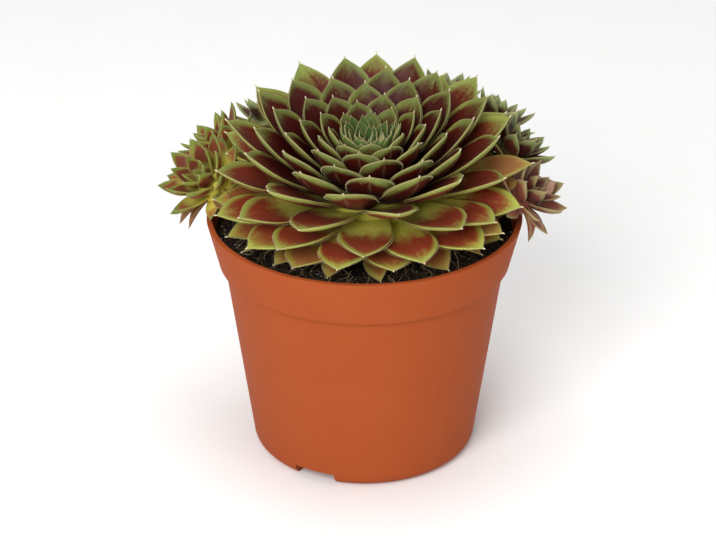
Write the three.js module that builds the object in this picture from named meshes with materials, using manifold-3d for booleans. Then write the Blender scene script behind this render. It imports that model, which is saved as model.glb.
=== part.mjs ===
// Hens and chicks (Sempervivum) in a round nursery pot.
//
// Millimetres, +Z up, -Y is the front. The origin is on the pot's axis, level with the foot it stands on.
// The mother rosette and each chick are separate plants' heads, each one solid: pointed leaves set in a
// spiral round a short stem, fused to a core that lies deep among them. A chick's solid also holds its
// stolon, which runs over the soil from the mother's stem, and the root that anchors it.

import * as THREE from "three";
import { mergeVertices } from "three/addons/utils/BufferGeometryUtils.js";
import Module from "manifold-3d";

const wasm = await Module();
wasm.setup();

// ---------------------------------------------------------------- driving dimensions

const CLEARANCE = 0.3; // between neighbouring pieces, and round what stands in the soil
const WELD = 1e-3; // vertices closer than this are one
const SLIVER = 0.06; // joining leaves no thinner faces than this

const POT = {
  height: 84,
  rimRadius: 52.5,
  rimInnerRadius: 50.8,
  lipRound: 0.5,
  collarHeight: 15.1,
  collarFootRadius: 48.9,
  collarUnderRound: 1.3,
  bodyTopRadius: 46.9,
  bodyFootRadius: 38.2,
  cornerRadius: 4.4,
  wall: 1.3,
  footRingInner: 29.5,
  recess: 4,
  segments: 28,
};

const NOTCH = { count: 3, first: -116.5, width: 14.5, height: 4.4, innerReach: 26, outerReach: 60 };
const DRAIN = { count: 6, first: -86.5, ring: 17, radius: 3.2, sides: 8 };

const SOIL = { depthBelowRim: 5.6, relief: 0.45, rings: 2 };

const DIVERGENCE = 137.55; // degrees from leaf to leaf round the stem, close to the golden angle

// A rosette's leaves follow these rows from the youngest leaf at its heart (first value) to the oldest.
// bend is in degrees; cup is how far the edges rise, as a share of the half width.
const MOTHER_ROWS = {
  tipRadius: [2.4, 8.7, 16.1, 24.1, 32, 40.1, 47.3, 52.6, 55, 54.1, 51.3],
  tipHeight: [29.6, 32.8, 34.7, 35.9, 36.7, 36.8, 33.4, 21.9, 15.8, 11.9, 8.9],
  baseRadius: [1, 2.2, 3.2, 4.1, 4.9, 5.6, 6.1, 6.5, 6.8, 7, 7.2],
  baseHeight: [18, 16.6, 15, 13.2, 11.4, 9.6, 7.8, 5.8, 3.8, 1.9, 0.2],
  bend: [3, 9, 14, 18, 20, 18, 9, -2, -6, -7, -6],
  width: [2.6, 6, 10.5, 13, 14.8, 15.8, 16.4, 17, 17.4, 17.4, 17],
  thickness: [0.9, 1.2, 1.5, 1.7, 1.9, 2, 2.1, 2.1, 2, 1.9, 1.8],
  cup: [0.3, 0.3, 0.3, 0.28, 0.26, 0.24, 0.2, 0.15, 0.11, 0.08, 0.06],
};

// A chick's rows are for a head of 20 mm radius, and grow or shrink with it.
const CHICK_ROWS = {
  tipRadius: [1.6, 5, 9, 13, 16.5, 19.2, 20, 18.5],
  tipHeight: [12, 15.5, 17.5, 18, 16.5, 12, 5, -2],
  baseRadius: [0.5, 1, 1.5, 1.9, 2.2, 2.5, 2.7, 2.8],
  baseHeight: [5.5, 5, 4.4, 3.7, 2.8, 1.7, 0.6, -0.6],
  bend: [5, 9, 13, 16, 15, 10, 4, -5],
  width: [2.6, 4.4, 6.2, 7.6, 8.6, 9, 8.8, 8.2],
  thickness: [1, 1.15, 1.3, 1.5, 1.6, 1.5, 1.4, 1.3],
  cup: [0.3, 0.28, 0.26, 0.22, 0.18, 0.14, 0.12, 0.1],
};
const CHICK_ROWS_RADIUS = 20;

// Shares of a leaf's length: where its solid starts, inside the core, where it is widest, and its outline.
const MOTHER_LEAF = { rootStation: 0.3, widest: 0.7, footWidth: 0.5, footCurve: 1.8, shoulder: 1.5 };
const CHICK_LEAF = { rootStation: 0.2, widest: 0.5, footWidth: 0.66, footCurve: 1.8, shoulder: 1.25 };

const MOTHER = {
  name: "mother_rosette",
  rows: MOTHER_ROWS,
  outline: MOTHER_LEAF,
  scale: 1,
  leaves: 113,
  firstAngle: 233,
  centre: [2.3, 0.1, POT.height + 1],
  lean: 7.9,
  leanTowards: -106.5,
  seed: 4,
  coreStation: 0.4,
  coreSides: 12,
  coreRings: 5,
  stemRadius: 7.2,
  stemDepth: 15,
  colour: 0x6f5a34,
};

// centre: x, y and height above the rim of the lowest leaf's foot. A chick leans out over the rim.
const CHICKS = [
  { name: "chick_left", radius: 17, leaves: 30, centre: [-49.4, 3.5, 7.5], lean: 42, leanTowards: -150 },
  { name: "chick_left_upper", radius: 16, leaves: 24, centre: [-46, 26, 9], lean: 42, leanTowards: 165 },
  { name: "chick_back_left", radius: 14, leaves: 21, centre: [-32, 40.5, 12.5], lean: 24, leanTowards: 125 },
  { name: "chick_back_right", radius: 14, leaves: 21, centre: [27, 43, 19], lean: 14, leanTowards: 60 },
  { name: "chick_right_back", radius: 15, leaves: 23, centre: [42.5, 29.5, 16], lean: 32, leanTowards: 36 },
  { name: "chick_right", radius: 15, leaves: 26, centre: [47.5, 12, 13.5], lean: 40, leanTowards: 12 },
  { name: "chick_right_low", radius: 15, leaves: 22, centre: [50.5, -6, 7.5], lean: 50, leanTowards: -14 },
];
const CHICK_HABIT = {
  outline: CHICK_LEAF,
  coreStation: 0.3,
  coreSides: 8,
  coreRings: 3,
  stemRadius: 2.2,
  stemDepth: 0,
  colour: 0x7a5a3a,
};
// The ball round the middle of a chick, as a share of its radius, that the mother's leaves leave free.
const HEART = { share: 0.5, rise: 0.8 };
const STOLON = {
  radius: 1.2,
  aboveSoil: 2.3,
  sides: 6,
  steps: 5,
  fromStem: 0.9,
  level: 0.55, // share of the way to the root over which it lies level
  rise: 1.5,
  early: 0.35, // how soon it bends up to the chick
  underCrown: 3.5,
  intoCrown: 1.5,
};
const ROOT = { radius: 1.5, taper: 0.6, depth: 9, sides: 6, inset: 4, back: 3 };

// A leaf's section has more sides, and its free part more rings from root to tip, the wider it is.
const LEAF_FORMS = [
  { narrowest: 0, sides: 4, firstSide: 0, rings: [0, 0.58, 1] },
  { narrowest: 7.2, sides: 4, firstSide: 0, rings: [0, 0.5, 0.85, 1] },
  { narrowest: 10, sides: 6, firstSide: Math.PI / 6, rings: [0, 0.5, 0.83, 1] },
];
const CORE = { twist: 0.02, drop: 0.9 };
const VARIETY = { turn: 5, reach: 0.03, height: 1, roll: 4 };
// A leaf that would meet a neighbouring piece stays shorter, by this share of its length a step.
const GROWTH = { steps: 11, shorter: 0.07 };

// ---------------------------------------------------------------- small helpers

const UP = new THREE.Vector3(0, 0, 1);
const radians = THREE.MathUtils.degToRad;

function solidOf(geometry) {
  const bare = geometry.clone();
  bare.deleteAttribute("normal");
  bare.deleteAttribute("uv");
  const merged = mergeVertices(bare, WELD);
  const mesh = new wasm.Mesh({
    numProp: 3,
    vertProperties: new Float32Array(merged.attributes.position.array),
    triVerts: new Uint32Array(merged.index.array),
  });
  return new wasm.Manifold(mesh);
}

function geometryOf(solid) {
  const { vertProperties, triVerts } = solid.getMesh();
  const geometry = new THREE.BufferGeometry();
  geometry.setAttribute("position", new THREE.BufferAttribute(new Float32Array(vertProperties), 3));
  geometry.setIndex(new THREE.BufferAttribute(new Uint32Array(triVerts), 1));
  geometry.computeVertexNormals();
  return geometry;
}

function pieceOf(name, solid, colour, roughness) {
  const look = { color: colour, roughness, metalness: 0, flatShading: true };
  const piece = new THREE.Mesh(geometryOf(solid), new THREE.MeshStandardMaterial(look));
  piece.name = name;
  return piece;
}

function moveVertices(geometry, place) {
  const positions = geometry.attributes.position;
  const point = new THREE.Vector3();
  for (let i = 0; i < positions.count; i += 1) {
    point.fromBufferAttribute(positions, i);
    place(point);
    positions.setXYZ(i, point.x, point.y, point.z);
  }
  return geometry;
}

// The value of a row at age 0 (youngest) to 1 (oldest), on a smooth curve through its entries.
function rowValue(row, age) {
  const place = age * (row.length - 1);
  const low = Math.min(Math.floor(place), row.length - 2);
  const t = place - low;
  const at = (i) => row[THREE.MathUtils.clamp(i, 0, row.length - 1)];
  const [before, start, end, after] = [at(low - 1), at(low), at(low + 1), at(low + 2)];
  const rise = (end - before) / 2;
  const leave = (after - start) / 2;
  const bow = 2 * (start - end) + rise + leave;
  const turn = 3 * (end - start) - 2 * rise - leave;
  return ((bow * t + turn) * t + rise) * t + start;
}

// A repeatable number from -1 to 1 for one leaf of one rosette.
function draw(seed, leaf, use) {
  const value = Math.sin(seed * 37.719 + leaf * 12.9898 + use * 78.233) * 43758.5453;
  return 2 * (value - Math.floor(value)) - 1;
}

// ---------------------------------------------------------------- pot

function lathe(profile, segments) {
  const points = profile.map(([radius, height]) => new THREE.Vector2(radius, height));
  const geometry = new THREE.LatheGeometry(points, segments);
  geometry.rotateX(Math.PI / 2); // LatheGeometry turns about Y
  return solidOf(geometry);
}

function arcPoints(centreRadius, centreHeight, radius, fromDegrees, toDegrees, steps) {
  const points = [];
  for (let i = 0; i <= steps; i += 1) {
    const angle = radians(fromDegrees + ((toDegrees - fromDegrees) * i) / steps);
    points.push([centreRadius + radius * Math.cos(angle), centreHeight + radius * Math.sin(angle)]);
  }
  return points;
}

const collarFoot = POT.height - POT.collarHeight;

function potOutside() {
  const { cornerRadius: corner, lipRound: lip, collarUnderRound: under } = POT;
  return lathe(
    [
      [0, POT.recess],
      [POT.footRingInner - POT.wall, POT.recess],
      [POT.footRingInner, 0],
      ...arcPoints(POT.bodyFootRadius - corner, corner, corner, -90, 0, 2),
      [POT.bodyTopRadius, collarFoot - under],
      ...arcPoints(POT.collarFootRadius - under, collarFoot, under, -60, 0, 2),
      [POT.rimRadius, POT.height - lip],
      [POT.rimRadius - lip, POT.height],
      [0, POT.height],
    ],
    POT.segments,
  );
}

// The pot's inside up to a level, set in from the wall by a gap; stations are rings across its top.
function potInside(gap, level, topRadii) {
  const inset = POT.wall + gap;
  const corner = POT.cornerRadius;
  const floor = POT.recess + inset;
  const slope = (POT.rimInnerRadius - (POT.collarFootRadius - POT.wall)) / POT.collarHeight;
  const collarInside = (height) => POT.rimInnerRadius - gap - (POT.height - height) * slope;
  const profile = [
    [0, floor],
    [POT.footRingInner - POT.wall * 1.6 + gap, floor],
    [POT.footRingInner + POT.wall * 0.4 + gap, inset],
    ...arcPoints(POT.bodyFootRadius - corner, corner, corner - inset, -90, 0, 2),
    [POT.bodyTopRadius - inset, collarFoot - POT.collarUnderRound],
    [collarInside(collarFoot + POT.collarUnderRound), collarFoot + POT.collarUnderRound],
    [collarInside(level), level],
  ];
  return lathe([...profile, ...topRadii.map((radius) => [radius, level]), [0, level]], POT.segments);
}

function notchCutters(grow) {
  const length = NOTCH.outerReach - NOTCH.innerReach + grow;
  const height = NOTCH.height + grow + POT.recess;
  return Array.from({ length: NOTCH.count }, (_, i) => {
    const box = new THREE.BoxGeometry(length, NOTCH.width + 2 * grow, height);
    box.translate(NOTCH.outerReach - length / 2, 0, NOTCH.height + grow - height / 2);
    box.rotateZ(radians(NOTCH.first + (360 / NOTCH.count) * i));
    return solidOf(box);
  });
}

function drainCutters() {
  return Array.from({ length: DRAIN.count }, (_, i) => {
    const hole = new THREE.CylinderGeometry(DRAIN.radius, DRAIN.radius, POT.recess, DRAIN.sides);
    hole.rotateX(Math.PI / 2);
    const angle = radians(DRAIN.first + (360 / DRAIN.count) * i);
    hole.translate(DRAIN.ring * Math.cos(angle), DRAIN.ring * Math.sin(angle), POT.recess + POT.wall / 2);
    return solidOf(hole);
  });
}

const cut = (solid, cutters) => cutters.reduce((left, cutter) => left.subtract(cutter), solid);

function makePot() {
  const shell = cut(potOutside(), notchCutters(0));
  const hollow = cut(potInside(0, POT.height + 1, []), notchCutters(POT.wall));
  return cut(shell.subtract(hollow), drainCutters());
}

// ---------------------------------------------------------------- soil

const soilLevel = POT.height - SOIL.depthBelowRim;

// Low crumbly swells, level at the pot's wall.
function soilSwell(x, y) {
  const edge = THREE.MathUtils.smoothstep(POT.bodyTopRadius - Math.hypot(x, y), 0, 6);
  const swell = Math.sin(x * 0.31 + 1.3) * Math.cos(y * 0.27) + 0.6 * Math.sin(x * 0.62 - y * 0.55);
  return SOIL.relief * swell * edge;
}

function makeSoil(sunk) {
  const ringAt = (i) => POT.bodyTopRadius * (1 - (i + 0.4) / (SOIL.rings + 0.4));
  const radii = Array.from({ length: SOIL.rings }, (_, i) => ringAt(i));
  const block = geometryOf(potInside(CLEARANCE, soilLevel, radii));
  moveVertices(block, (point) => {
    if (point.z > soilLevel - 0.01) {
      point.z += soilSwell(point.x, point.y);
    }
  });
  return cut(cut(solidOf(block), notchCutters(POT.wall + CLEARANCE)), sunk);
}

// ---------------------------------------------------------------- leaves and rosettes

// One leaf's place and size, before it meets its neighbours.
function leafPlan(rosette, leaf) {
  const age = leaf / (rosette.leaves - 1);
  const value = (name) => rosette.scale * rowValue(rosette.rows[name], age);
  const varied = (use) => draw(rosette.seed, leaf, use);
  return {
    turn: radians(rosette.firstAngle + leaf * DIVERGENCE + VARIETY.turn * age * varied(1)),
    roll: radians(VARIETY.roll * (1 + age) * varied(4)),
    base: [value("baseRadius"), value("baseHeight")],
    tip: [
      value("tipRadius") * (1 + VARIETY.reach * varied(2)),
      value("tipHeight") + rosette.scale * VARIETY.height * age * varied(3),
    ],
    bend: radians(rowValue(rosette.rows.bend, age)),
    cup: rowValue(rosette.rows.cup, age),
    width: value("width"),
    thickness: value("thickness"),
    outline: rosette.outline,
  };
}

// The leaf's middle line is an arc in the upright plane through the rosette's axis.
function arcPoint(plan, length, station) {
  const [radius, height] = plan.base;
  const reach = [(plan.tip[0] - radius) * length, (plan.tip[1] - height) * length];
  const chord = Math.hypot(...reach);
  const first = Math.atan2(reach[1], reach[0]) - plan.bend;
  const heading = first + 2 * plan.bend * station;
  const arcRadius = chord / (2 * Math.sin(plan.bend));
  return {
    radius: radius + arcRadius * (Math.sin(heading) - Math.sin(first)),
    height: height + arcRadius * (Math.cos(first) - Math.cos(heading)),
    heading,
  };
}

// Share of the full width: a waisted foot, broad shoulders and a drawn-out point.
function widthShare(station, { widest, footWidth, footCurve, shoulder }) {
  if (station < widest) {
    return 1 - (1 - footWidth) * ((widest - station) / widest) ** footCurve;
  }
  return 1 - ((station - widest) / (1 - widest)) ** shoulder;
}

// A cone bent to the leaf: hollow above, keeled below, with sharp edges.
function leafSolid(plan, length, place) {
  const form = LEAF_FORMS.findLast(({ narrowest }) => plan.width >= narrowest);
  const last = form.rings.length - 1;
  const { rootStation } = plan.outline;
  const cone = new THREE.ConeGeometry(1, last, form.sides, last, false, form.firstSide);
  moveVertices(cone, (point) => {
    const ring = Math.round(point.y + last / 2);
    const station = rootStation + (1 - rootStation) * form.rings[ring];
    const coneRadius = ring === last ? 1 : 1 - ring / last;
    const across = point.x / coneRadius;
    const below = Math.max(0, point.z / coneRadius);
    const half = (plan.width / 2) * length * widthShare(station, plan.outline);
    const thick = plan.thickness * Math.sqrt(1 - station ** 4);
    const side = across * half;
    const lift = plan.cup * half * across * across - thick * below;
    const middle = arcPoint(plan, length, station);
    const roll = plan.roll * station;
    const rolledSide = side * Math.cos(roll) - lift * Math.sin(roll);
    const rolledLift = side * Math.sin(roll) + lift * Math.cos(roll);
    const outward = middle.radius - rolledLift * Math.sin(middle.heading);
    point.x = outward * Math.cos(plan.turn) - rolledSide * Math.sin(plan.turn);
    point.y = outward * Math.sin(plan.turn) + rolledSide * Math.cos(plan.turn);
    point.z = middle.height + rolledLift * Math.cos(middle.heading);
    point.applyMatrix4(place);
  });
  return solidOf(cone);
}

function rosettePlace(rosette) {
  const heading = radians(rosette.leanTowards);
  const tiltAxis = new THREE.Vector3(-Math.sin(heading), Math.cos(heading), 0);
  const place = new THREE.Matrix4().makeRotationAxis(tiltAxis, radians(rosette.lean));
  return place.setPosition(...rosette.centre);
}

// The stem and the flared bed of leaf feet: its skin lies at the same share of the way up every leaf.
function rosetteCore(rosette, grow) {
  const evenly = { ...rosette, seed: 0 };
  const planAt = (age) => leafPlan(evenly, Math.round(age * (rosette.leaves - 1)));
  const oldest = planAt(1);
  const stem = rosette.stemRadius + grow;
  const profile = [[0, -rosette.stemDepth - grow]];
  if (rosette.stemDepth > 0) {
    profile.push([stem, -rosette.stemDepth - grow]);
  }
  for (const station of [0, rosette.coreStation / 2, rosette.coreStation]) {
    const { radius, height } = arcPoint(oldest, 1, station);
    profile.push([Math.max(radius + grow, stem), height - CORE.drop * oldest.thickness - grow]);
  }
  for (let ring = rosette.coreRings - 1; ring >= 0; ring -= 1) {
    const { radius, height } = arcPoint(planAt(ring / rosette.coreRings), 1, rosette.coreStation);
    profile.push([radius + grow, height + grow]);
  }
  profile.push([0, profile.at(-1)[1]]);
  const geometry = new THREE.LatheGeometry(profile.map((at) => new THREE.Vector2(...at)), rosette.coreSides);
  geometry.rotateX(Math.PI / 2);
  moveVertices(geometry, (point) => point.applyAxisAngle(UP, CORE.twist * point.z));
  geometry.applyMatrix4(rosettePlace(rosette));
  return solidOf(geometry);
}

// The longest form of a leaf that keeps clear of every obstacle, or null where none does.
function clearLeaf(plan, place, obstacles) {
  for (let step = 0; step < GROWTH.steps; step += 1) {
    const length = 1 - GROWTH.shorter * step;
    const leaf = leafSolid(plan, length, place);
    if (obstacles.every((obstacle) => leaf.minGap(obstacle, CLEARANCE) >= CLEARANCE)) {
      return leaf;
    }
  }
  return null;
}

function makeRosette(rosette, obstacles, joined) {
  const place = rosettePlace(rosette);
  let head = joined.reduce((sum, piece) => sum.add(piece), rosetteCore(rosette, 0));
  for (let leaf = 0; leaf < rosette.leaves; leaf += 1) {
    const grown = clearLeaf(leafPlan(rosette, leaf), place, obstacles);
    head = grown ? head.add(grown) : head;
  }
  return head.simplify(SLIVER);
}

// ---------------------------------------------------------------- chicks

function chickRosette(chick, index) {
  return {
    ...CHICK_HABIT,
    rows: CHICK_ROWS,
    scale: chick.radius / CHICK_ROWS_RADIUS,
    firstAngle: 40 * index,
    seed: index + 2,
    ...chick,
    centre: [chick.centre[0], chick.centre[1], POT.height + chick.centre[2]],
  };
}

function heartOf(rosette) {
  const radius = HEART.share * rosette.radius;
  const middle = new THREE.Vector3(0, 0, HEART.rise * radius).applyMatrix4(rosettePlace(rosette));
  const ball = new THREE.IcosahedronGeometry(radius, 2);
  ball.translate(middle.x, middle.y, middle.z);
  return solidOf(ball);
}

// The runner from the mother's stem, over the soil and up into the chick, and the root under it.
function stolonSolid(rosette, grow) {
  const [x, y, z] = rosette.centre;
  const out = new THREE.Vector3(x - MOTHER.centre[0], y - MOTHER.centre[1], 0);
  const distance = out.length();
  out.normalize();
  const lie = soilLevel + STOLON.aboveSoil;
  const at = (along, height) =>
    new THREE.Vector3(MOTHER.centre[0] + out.x * along, MOTHER.centre[1] + out.y * along, height);
  const up = UP.clone().transformDirection(rosettePlace(rosette));
  const foot = Math.min(distance - ROOT.inset, POT.bodyTopRadius - 2 * ROOT.inset);
  const crown = new THREE.Vector3(x, y, z).addScaledVector(up, STOLON.intoCrown);
  const underCrown = new THREE.Vector3(x, y, z).addScaledVector(up, -STOLON.underCrown);
  const route = [
    at(MOTHER.stemRadius + STOLON.fromStem - grow, lie),
    at(foot * STOLON.level, lie),
    at(foot - ROOT.back, lie),
    underCrown.lerp(at(foot, lie + STOLON.rise), STOLON.early),
    crown,
  ];
  const circle = new THREE.Shape().absarc(0, 0, STOLON.radius + grow, 0, 2 * Math.PI);
  const runner = new THREE.ExtrudeGeometry(circle, {
    curveSegments: STOLON.sides / 2,
    steps: STOLON.steps,
    extrudePath: new THREE.CatmullRomCurve3(route),
  });
  const depth = ROOT.depth + 2 * grow;
  const [top, bottom] = [ROOT.radius + grow, ROOT.radius * ROOT.taper + grow];
  const root = new THREE.CylinderGeometry(top, bottom, depth, ROOT.sides);
  root.rotateX(Math.PI / 2);
  const under = at(foot - ROOT.back, lie - ROOT.depth / 2);
  root.translate(under.x, under.y, under.z);
  return solidOf(runner).add(solidOf(root));
}

// ---------------------------------------------------------------- assembly

const chicks = CHICKS.map(chickRosette);
const pot = makePot();
const cores = chicks.map((chick) => rosetteCore(chick, 0));
const runners = chicks.map((chick) => stolonSolid(chick, 0));
const roots = chicks.map((chick) => stolonSolid(chick, CLEARANCE));
const soil = makeSoil([rosetteCore(MOTHER, CLEARANCE), ...roots]);
const mother = makeRosette(MOTHER, [pot, soil, ...chicks.map(heartOf), ...cores, ...runners], []);

const plant = new THREE.Group();
plant.add(pieceOf(MOTHER.name, mother, MOTHER.colour, 0.55));
const placed = [pot, soil, mother];
chicks.forEach((chick, index) => {
  const later = [...cores.slice(index + 1), ...runners.slice(index + 1)];
  const head = makeRosette(chick, [...placed, ...later], [runners[index]]);
  placed.push(head);
  plant.add(pieceOf(chick.name, head, chick.colour, 0.6));
});

const model = new THREE.Group();
model.add(pieceOf("pot", pot, 0xb85a32, 0.6));
model.add(pieceOf("soil", soil, 0x241b15, 0.95));
model.add(plant);

export default model;
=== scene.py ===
"""Hens and chicks (Sempervivum) in a terracotta-coloured nursery pot: the looks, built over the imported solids.

Metres, +Z up, -Y is the front. The sizes in the classes are millimetres, as on the part's own drawing.
"""

import logging
import math
from dataclasses import dataclass, field, replace
from enum import Enum

import bmesh
import bpy
import numpy as np
from bpy.types import Material, Mesh, Node, NodeSocket, NodeTree, Object
from mathutils import Matrix, Vector
from mathutils.kdtree import KDTree


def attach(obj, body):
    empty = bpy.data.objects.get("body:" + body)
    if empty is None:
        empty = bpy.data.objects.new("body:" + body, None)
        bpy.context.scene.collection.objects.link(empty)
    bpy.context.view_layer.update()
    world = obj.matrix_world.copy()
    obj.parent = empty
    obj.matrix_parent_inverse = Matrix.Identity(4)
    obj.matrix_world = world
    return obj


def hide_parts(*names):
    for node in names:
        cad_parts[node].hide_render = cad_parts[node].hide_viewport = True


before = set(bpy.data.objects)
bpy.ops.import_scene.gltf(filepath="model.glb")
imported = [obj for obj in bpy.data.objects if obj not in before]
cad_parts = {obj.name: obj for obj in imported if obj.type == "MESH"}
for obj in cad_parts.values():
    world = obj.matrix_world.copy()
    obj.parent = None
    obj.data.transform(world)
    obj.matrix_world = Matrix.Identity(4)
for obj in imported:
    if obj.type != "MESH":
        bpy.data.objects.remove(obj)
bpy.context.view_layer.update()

MM = 0.001
PER_CM2 = 1e4  # turns a count in a square centimetre into one in a square metre
ON_AXIS = 1e-6  # a profile's radius, in millimetres, under which its ring is one point
DIVERGENCE = 137.55  # degrees from leaf to leaf round the stem, close to the golden angle
LOG = logging.getLogger("hens_and_chicks")

Point = tuple[float, float]
Span = tuple[float, float]
Place = tuple[float, float, float]

# Kinds of node that recur, and the setting that eases a Map Range node's ends.
MATH = "ShaderNodeMath"
VECTOR_MATH = "ShaderNodeVectorMath"
MAP_RANGE = "ShaderNodeMapRange"
MIX = "ShaderNodeMix"
NOISE = "ShaderNodeTexNoise"
SMOOTH = {"interpolation_type": "SMOOTHSTEP"}


# ---------------------------------------------------------------- shared helpers


def linear(code: str) -> tuple[float, float, float, float]:
    """Turns an sRGB hex code into the linear colour that shaders use.

    Args:
        code: Six hex digits after a hash sign.

    Returns:
        Red, green, blue and an alpha of one.
    """
    parts = (int(code[i : i + 2], 16) / 255 for i in (1, 3, 5))
    return (*(v / 12.92 if v <= 0.04045 else ((v + 0.055) / 1.055) ** 2.4 for v in parts), 1.0)


def add_node(tree: NodeTree, kind: str, inputs: dict[int | str, object] | tuple = (), **settings: object) -> Node:
    """Adds one node with its settings and links.

    Args:
        tree: The node tree that gets it.
        kind: Blender's name for the type of node.
        inputs: What goes into its sockets, by place or name, or as a tuple in the sockets' order: a node (its
            first output), a socket or a plain value.
        settings: The node's own properties.

    Returns:
        The new node.
    """
    node = tree.nodes.new(kind)
    for name, value in settings.items():
        setattr(node, name, value)
    for key, value in inputs.items() if isinstance(inputs, dict) else enumerate(inputs):
        if isinstance(value, Node):
            tree.links.new(value.outputs[0], node.inputs[key])
        elif isinstance(value, NodeSocket):
            tree.links.new(value, node.inputs[key])
        else:
            node.inputs[key].default_value = value
    return node


def node_group(name: str, inputs: dict[str, str]) -> tuple[NodeTree, dict[str, str]]:
    """Makes a Geometry Nodes tree with named inputs and one geometry output.

    Args:
        name: The tree's name.
        inputs: For each input's name its kind, the geometry first.

    Returns:
        The tree, and each input's identifier by its name.
    """
    tree = bpy.data.node_groups.new(name, "GeometryNodeTree")
    inlets = {
        label: tree.interface.new_socket(name=label, in_out="INPUT", socket_type="NodeSocket" + kind).identifier
        for label, kind in inputs.items()
    }
    tree.interface.new_socket(name="Geometry", in_out="OUTPUT", socket_type="NodeSocketGeometry")
    return tree, inlets


def row_value(row: tuple[float, ...], age: float) -> float:
    """Reads a row of values on the smooth curve through them.

    Args:
        row: Values from the youngest leaf to the oldest.
        age: Place in the row, from 0 to 1.

    Returns:
        The value at that age.
    """
    place = age * (len(row) - 1)
    low = min(int(place), len(row) - 2)
    t = place - low
    before, start, end, after = (row[min(max(low + i, 0), len(row) - 1)] for i in (-1, 0, 1, 2))
    rise, leave = (end - before) / 2, (after - start) / 2
    bow = 2 * (start - end) + rise + leave
    turn = 3 * (end - start) - 2 * rise - leave
    return ((bow * t + turn) * t + rise) * t + start


def draw(seed: int, leaf: int, use: int) -> float:
    """Gives a repeatable number from -1 to 1, by the same rule as the solids.

    Args:
        seed: The rosette's seed.
        leaf: The leaf's number.
        use: What the number is for.

    Returns:
        The number.
    """
    value = math.sin(seed * 37.719 + leaf * 12.9898 + use * 78.233) * 43758.5453
    return 2 * (value - math.floor(value)) - 1


def mesh_object(name: str, mesh: Mesh, material: Material | None) -> Object:
    """Puts a mesh in the scene as an object at the origin.

    Args:
        name: The object's name.
        mesh: Its mesh, already in place.
        material: Its one material, if it doesn't have it yet.

    Returns:
        The new object.
    """
    if material is not None:
        mesh.materials.clear()
        mesh.materials.append(material)
    piece = bpy.data.objects.new(name, mesh)
    bpy.context.scene.collection.objects.link(piece)
    return piece


def store_vectors(mesh: Mesh, label: str, values: np.ndarray | list[Place]) -> None:
    """Stores a named vector for each vertex.

    Args:
        mesh: The mesh that gets it.
        label: The attribute's name.
        values: Three numbers for each vertex.
    """
    attribute = mesh.attributes.new(label, "FLOAT_VECTOR", "POINT")
    attribute.data.foreach_set("vector", np.asarray(values, np.float32).ravel())


def baked(piece: Object) -> Object:
    """Turns what an object's modifiers make into its plain mesh.

    Args:
        piece: An object with live modifiers.

    Returns:
        The same object, with the mesh and without the modifiers.
    """
    graph = bpy.context.evaluated_depsgraph_get()
    made = bpy.data.meshes.new_from_object(piece.evaluated_get(graph), preserve_all_data_layers=True, depsgraph=graph)
    made.name = piece.name
    piece.modifiers.clear()
    old, piece.data = piece.data, made
    bpy.data.meshes.remove(old)
    return piece


def grown(piece: Object, tree: NodeTree, inlets: dict[str, str], values: dict[str, object]) -> Object:
    """Runs a Geometry Nodes tree on an object and keeps the result as its plain mesh.

    Args:
        piece: The object.
        tree: The tree.
        inlets: The identifiers of the tree's inputs, by name.
        values: What its inputs get, by name.

    Returns:
        The same object.
    """
    modifier = piece.modifiers.new(tree.name, "NODES")
    modifier.node_group = tree
    for label, value in values.items():
        modifier[inlets[label]] = value
    return baked(piece)


def finished(work: bmesh.types.BMesh, name: str) -> Mesh:
    """Turns the faces of a mesh under work outwards and closes the work.

    Args:
        work: The mesh under work, which is freed.
        name: The name of the mesh that it becomes.

    Returns:
        The mesh.
    """
    work.normal_update()
    bmesh.ops.recalc_face_normals(work, faces=work.faces)
    mesh = bpy.data.meshes.new(name)
    work.to_mesh(mesh)
    work.free()
    return mesh


def spline(points: list[Vector], steps: int) -> list[Vector]:
    """Lays a smooth curve through points.

    Args:
        points: The points, in order.
        steps: Number of stretches.

    Returns:
        Points along the curve, with both ends.
    """
    ends = [points[0] * 2 - points[1], *points, points[-1] * 2 - points[-2]]
    curve = []
    for i in range(steps + 1):
        place = i / steps * (len(points) - 1)
        low = min(int(place), len(points) - 2)
        t = place - low
        before, start, end, after = ends[low : low + 4]
        bow = 2 * before - 5 * start + 4 * end - after
        turn = 3 * start - before - 3 * end + after
        curve.append(0.5 * (2 * start + (end - before) * t + bow * t * t + turn * t**3))
    return curve


def add_tube(work: bmesh.types.BMesh, path: list[Vector], girths: list[float], sides: int) -> None:
    """Adds a closed tube along a path.

    Args:
        work: The mesh under work that gets it.
        path: Points of its middle line, in millimetres.
        girths: Its radius at each point, in millimetres.
        sides: Number of its sides.
    """
    rings = []
    side = (path[1] - path[0]).orthogonal()
    for i, (middle, girth) in enumerate(zip(path, girths)):
        ahead = (path[min(i + 1, len(path) - 1)] - path[max(i - 1, 0)]).normalized()
        side = (side - ahead * side.dot(ahead)).normalized()
        other = ahead.cross(side)
        turns = (2 * math.pi * k / sides for k in range(sides))
        spokes = (side * math.cos(turn) + other * math.sin(turn) for turn in turns)
        rings.append([work.verts.new((middle + spoke * girth) * MM) for spoke in spokes])
    for low, high in zip(rings, rings[1:]):
        for k in range(sides):
            work.faces.new((low[k], low[(k + 1) % sides], high[(k + 1) % sides], high[k]))
    work.faces.new(rings[0])
    work.faces.new(rings[-1])


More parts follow.
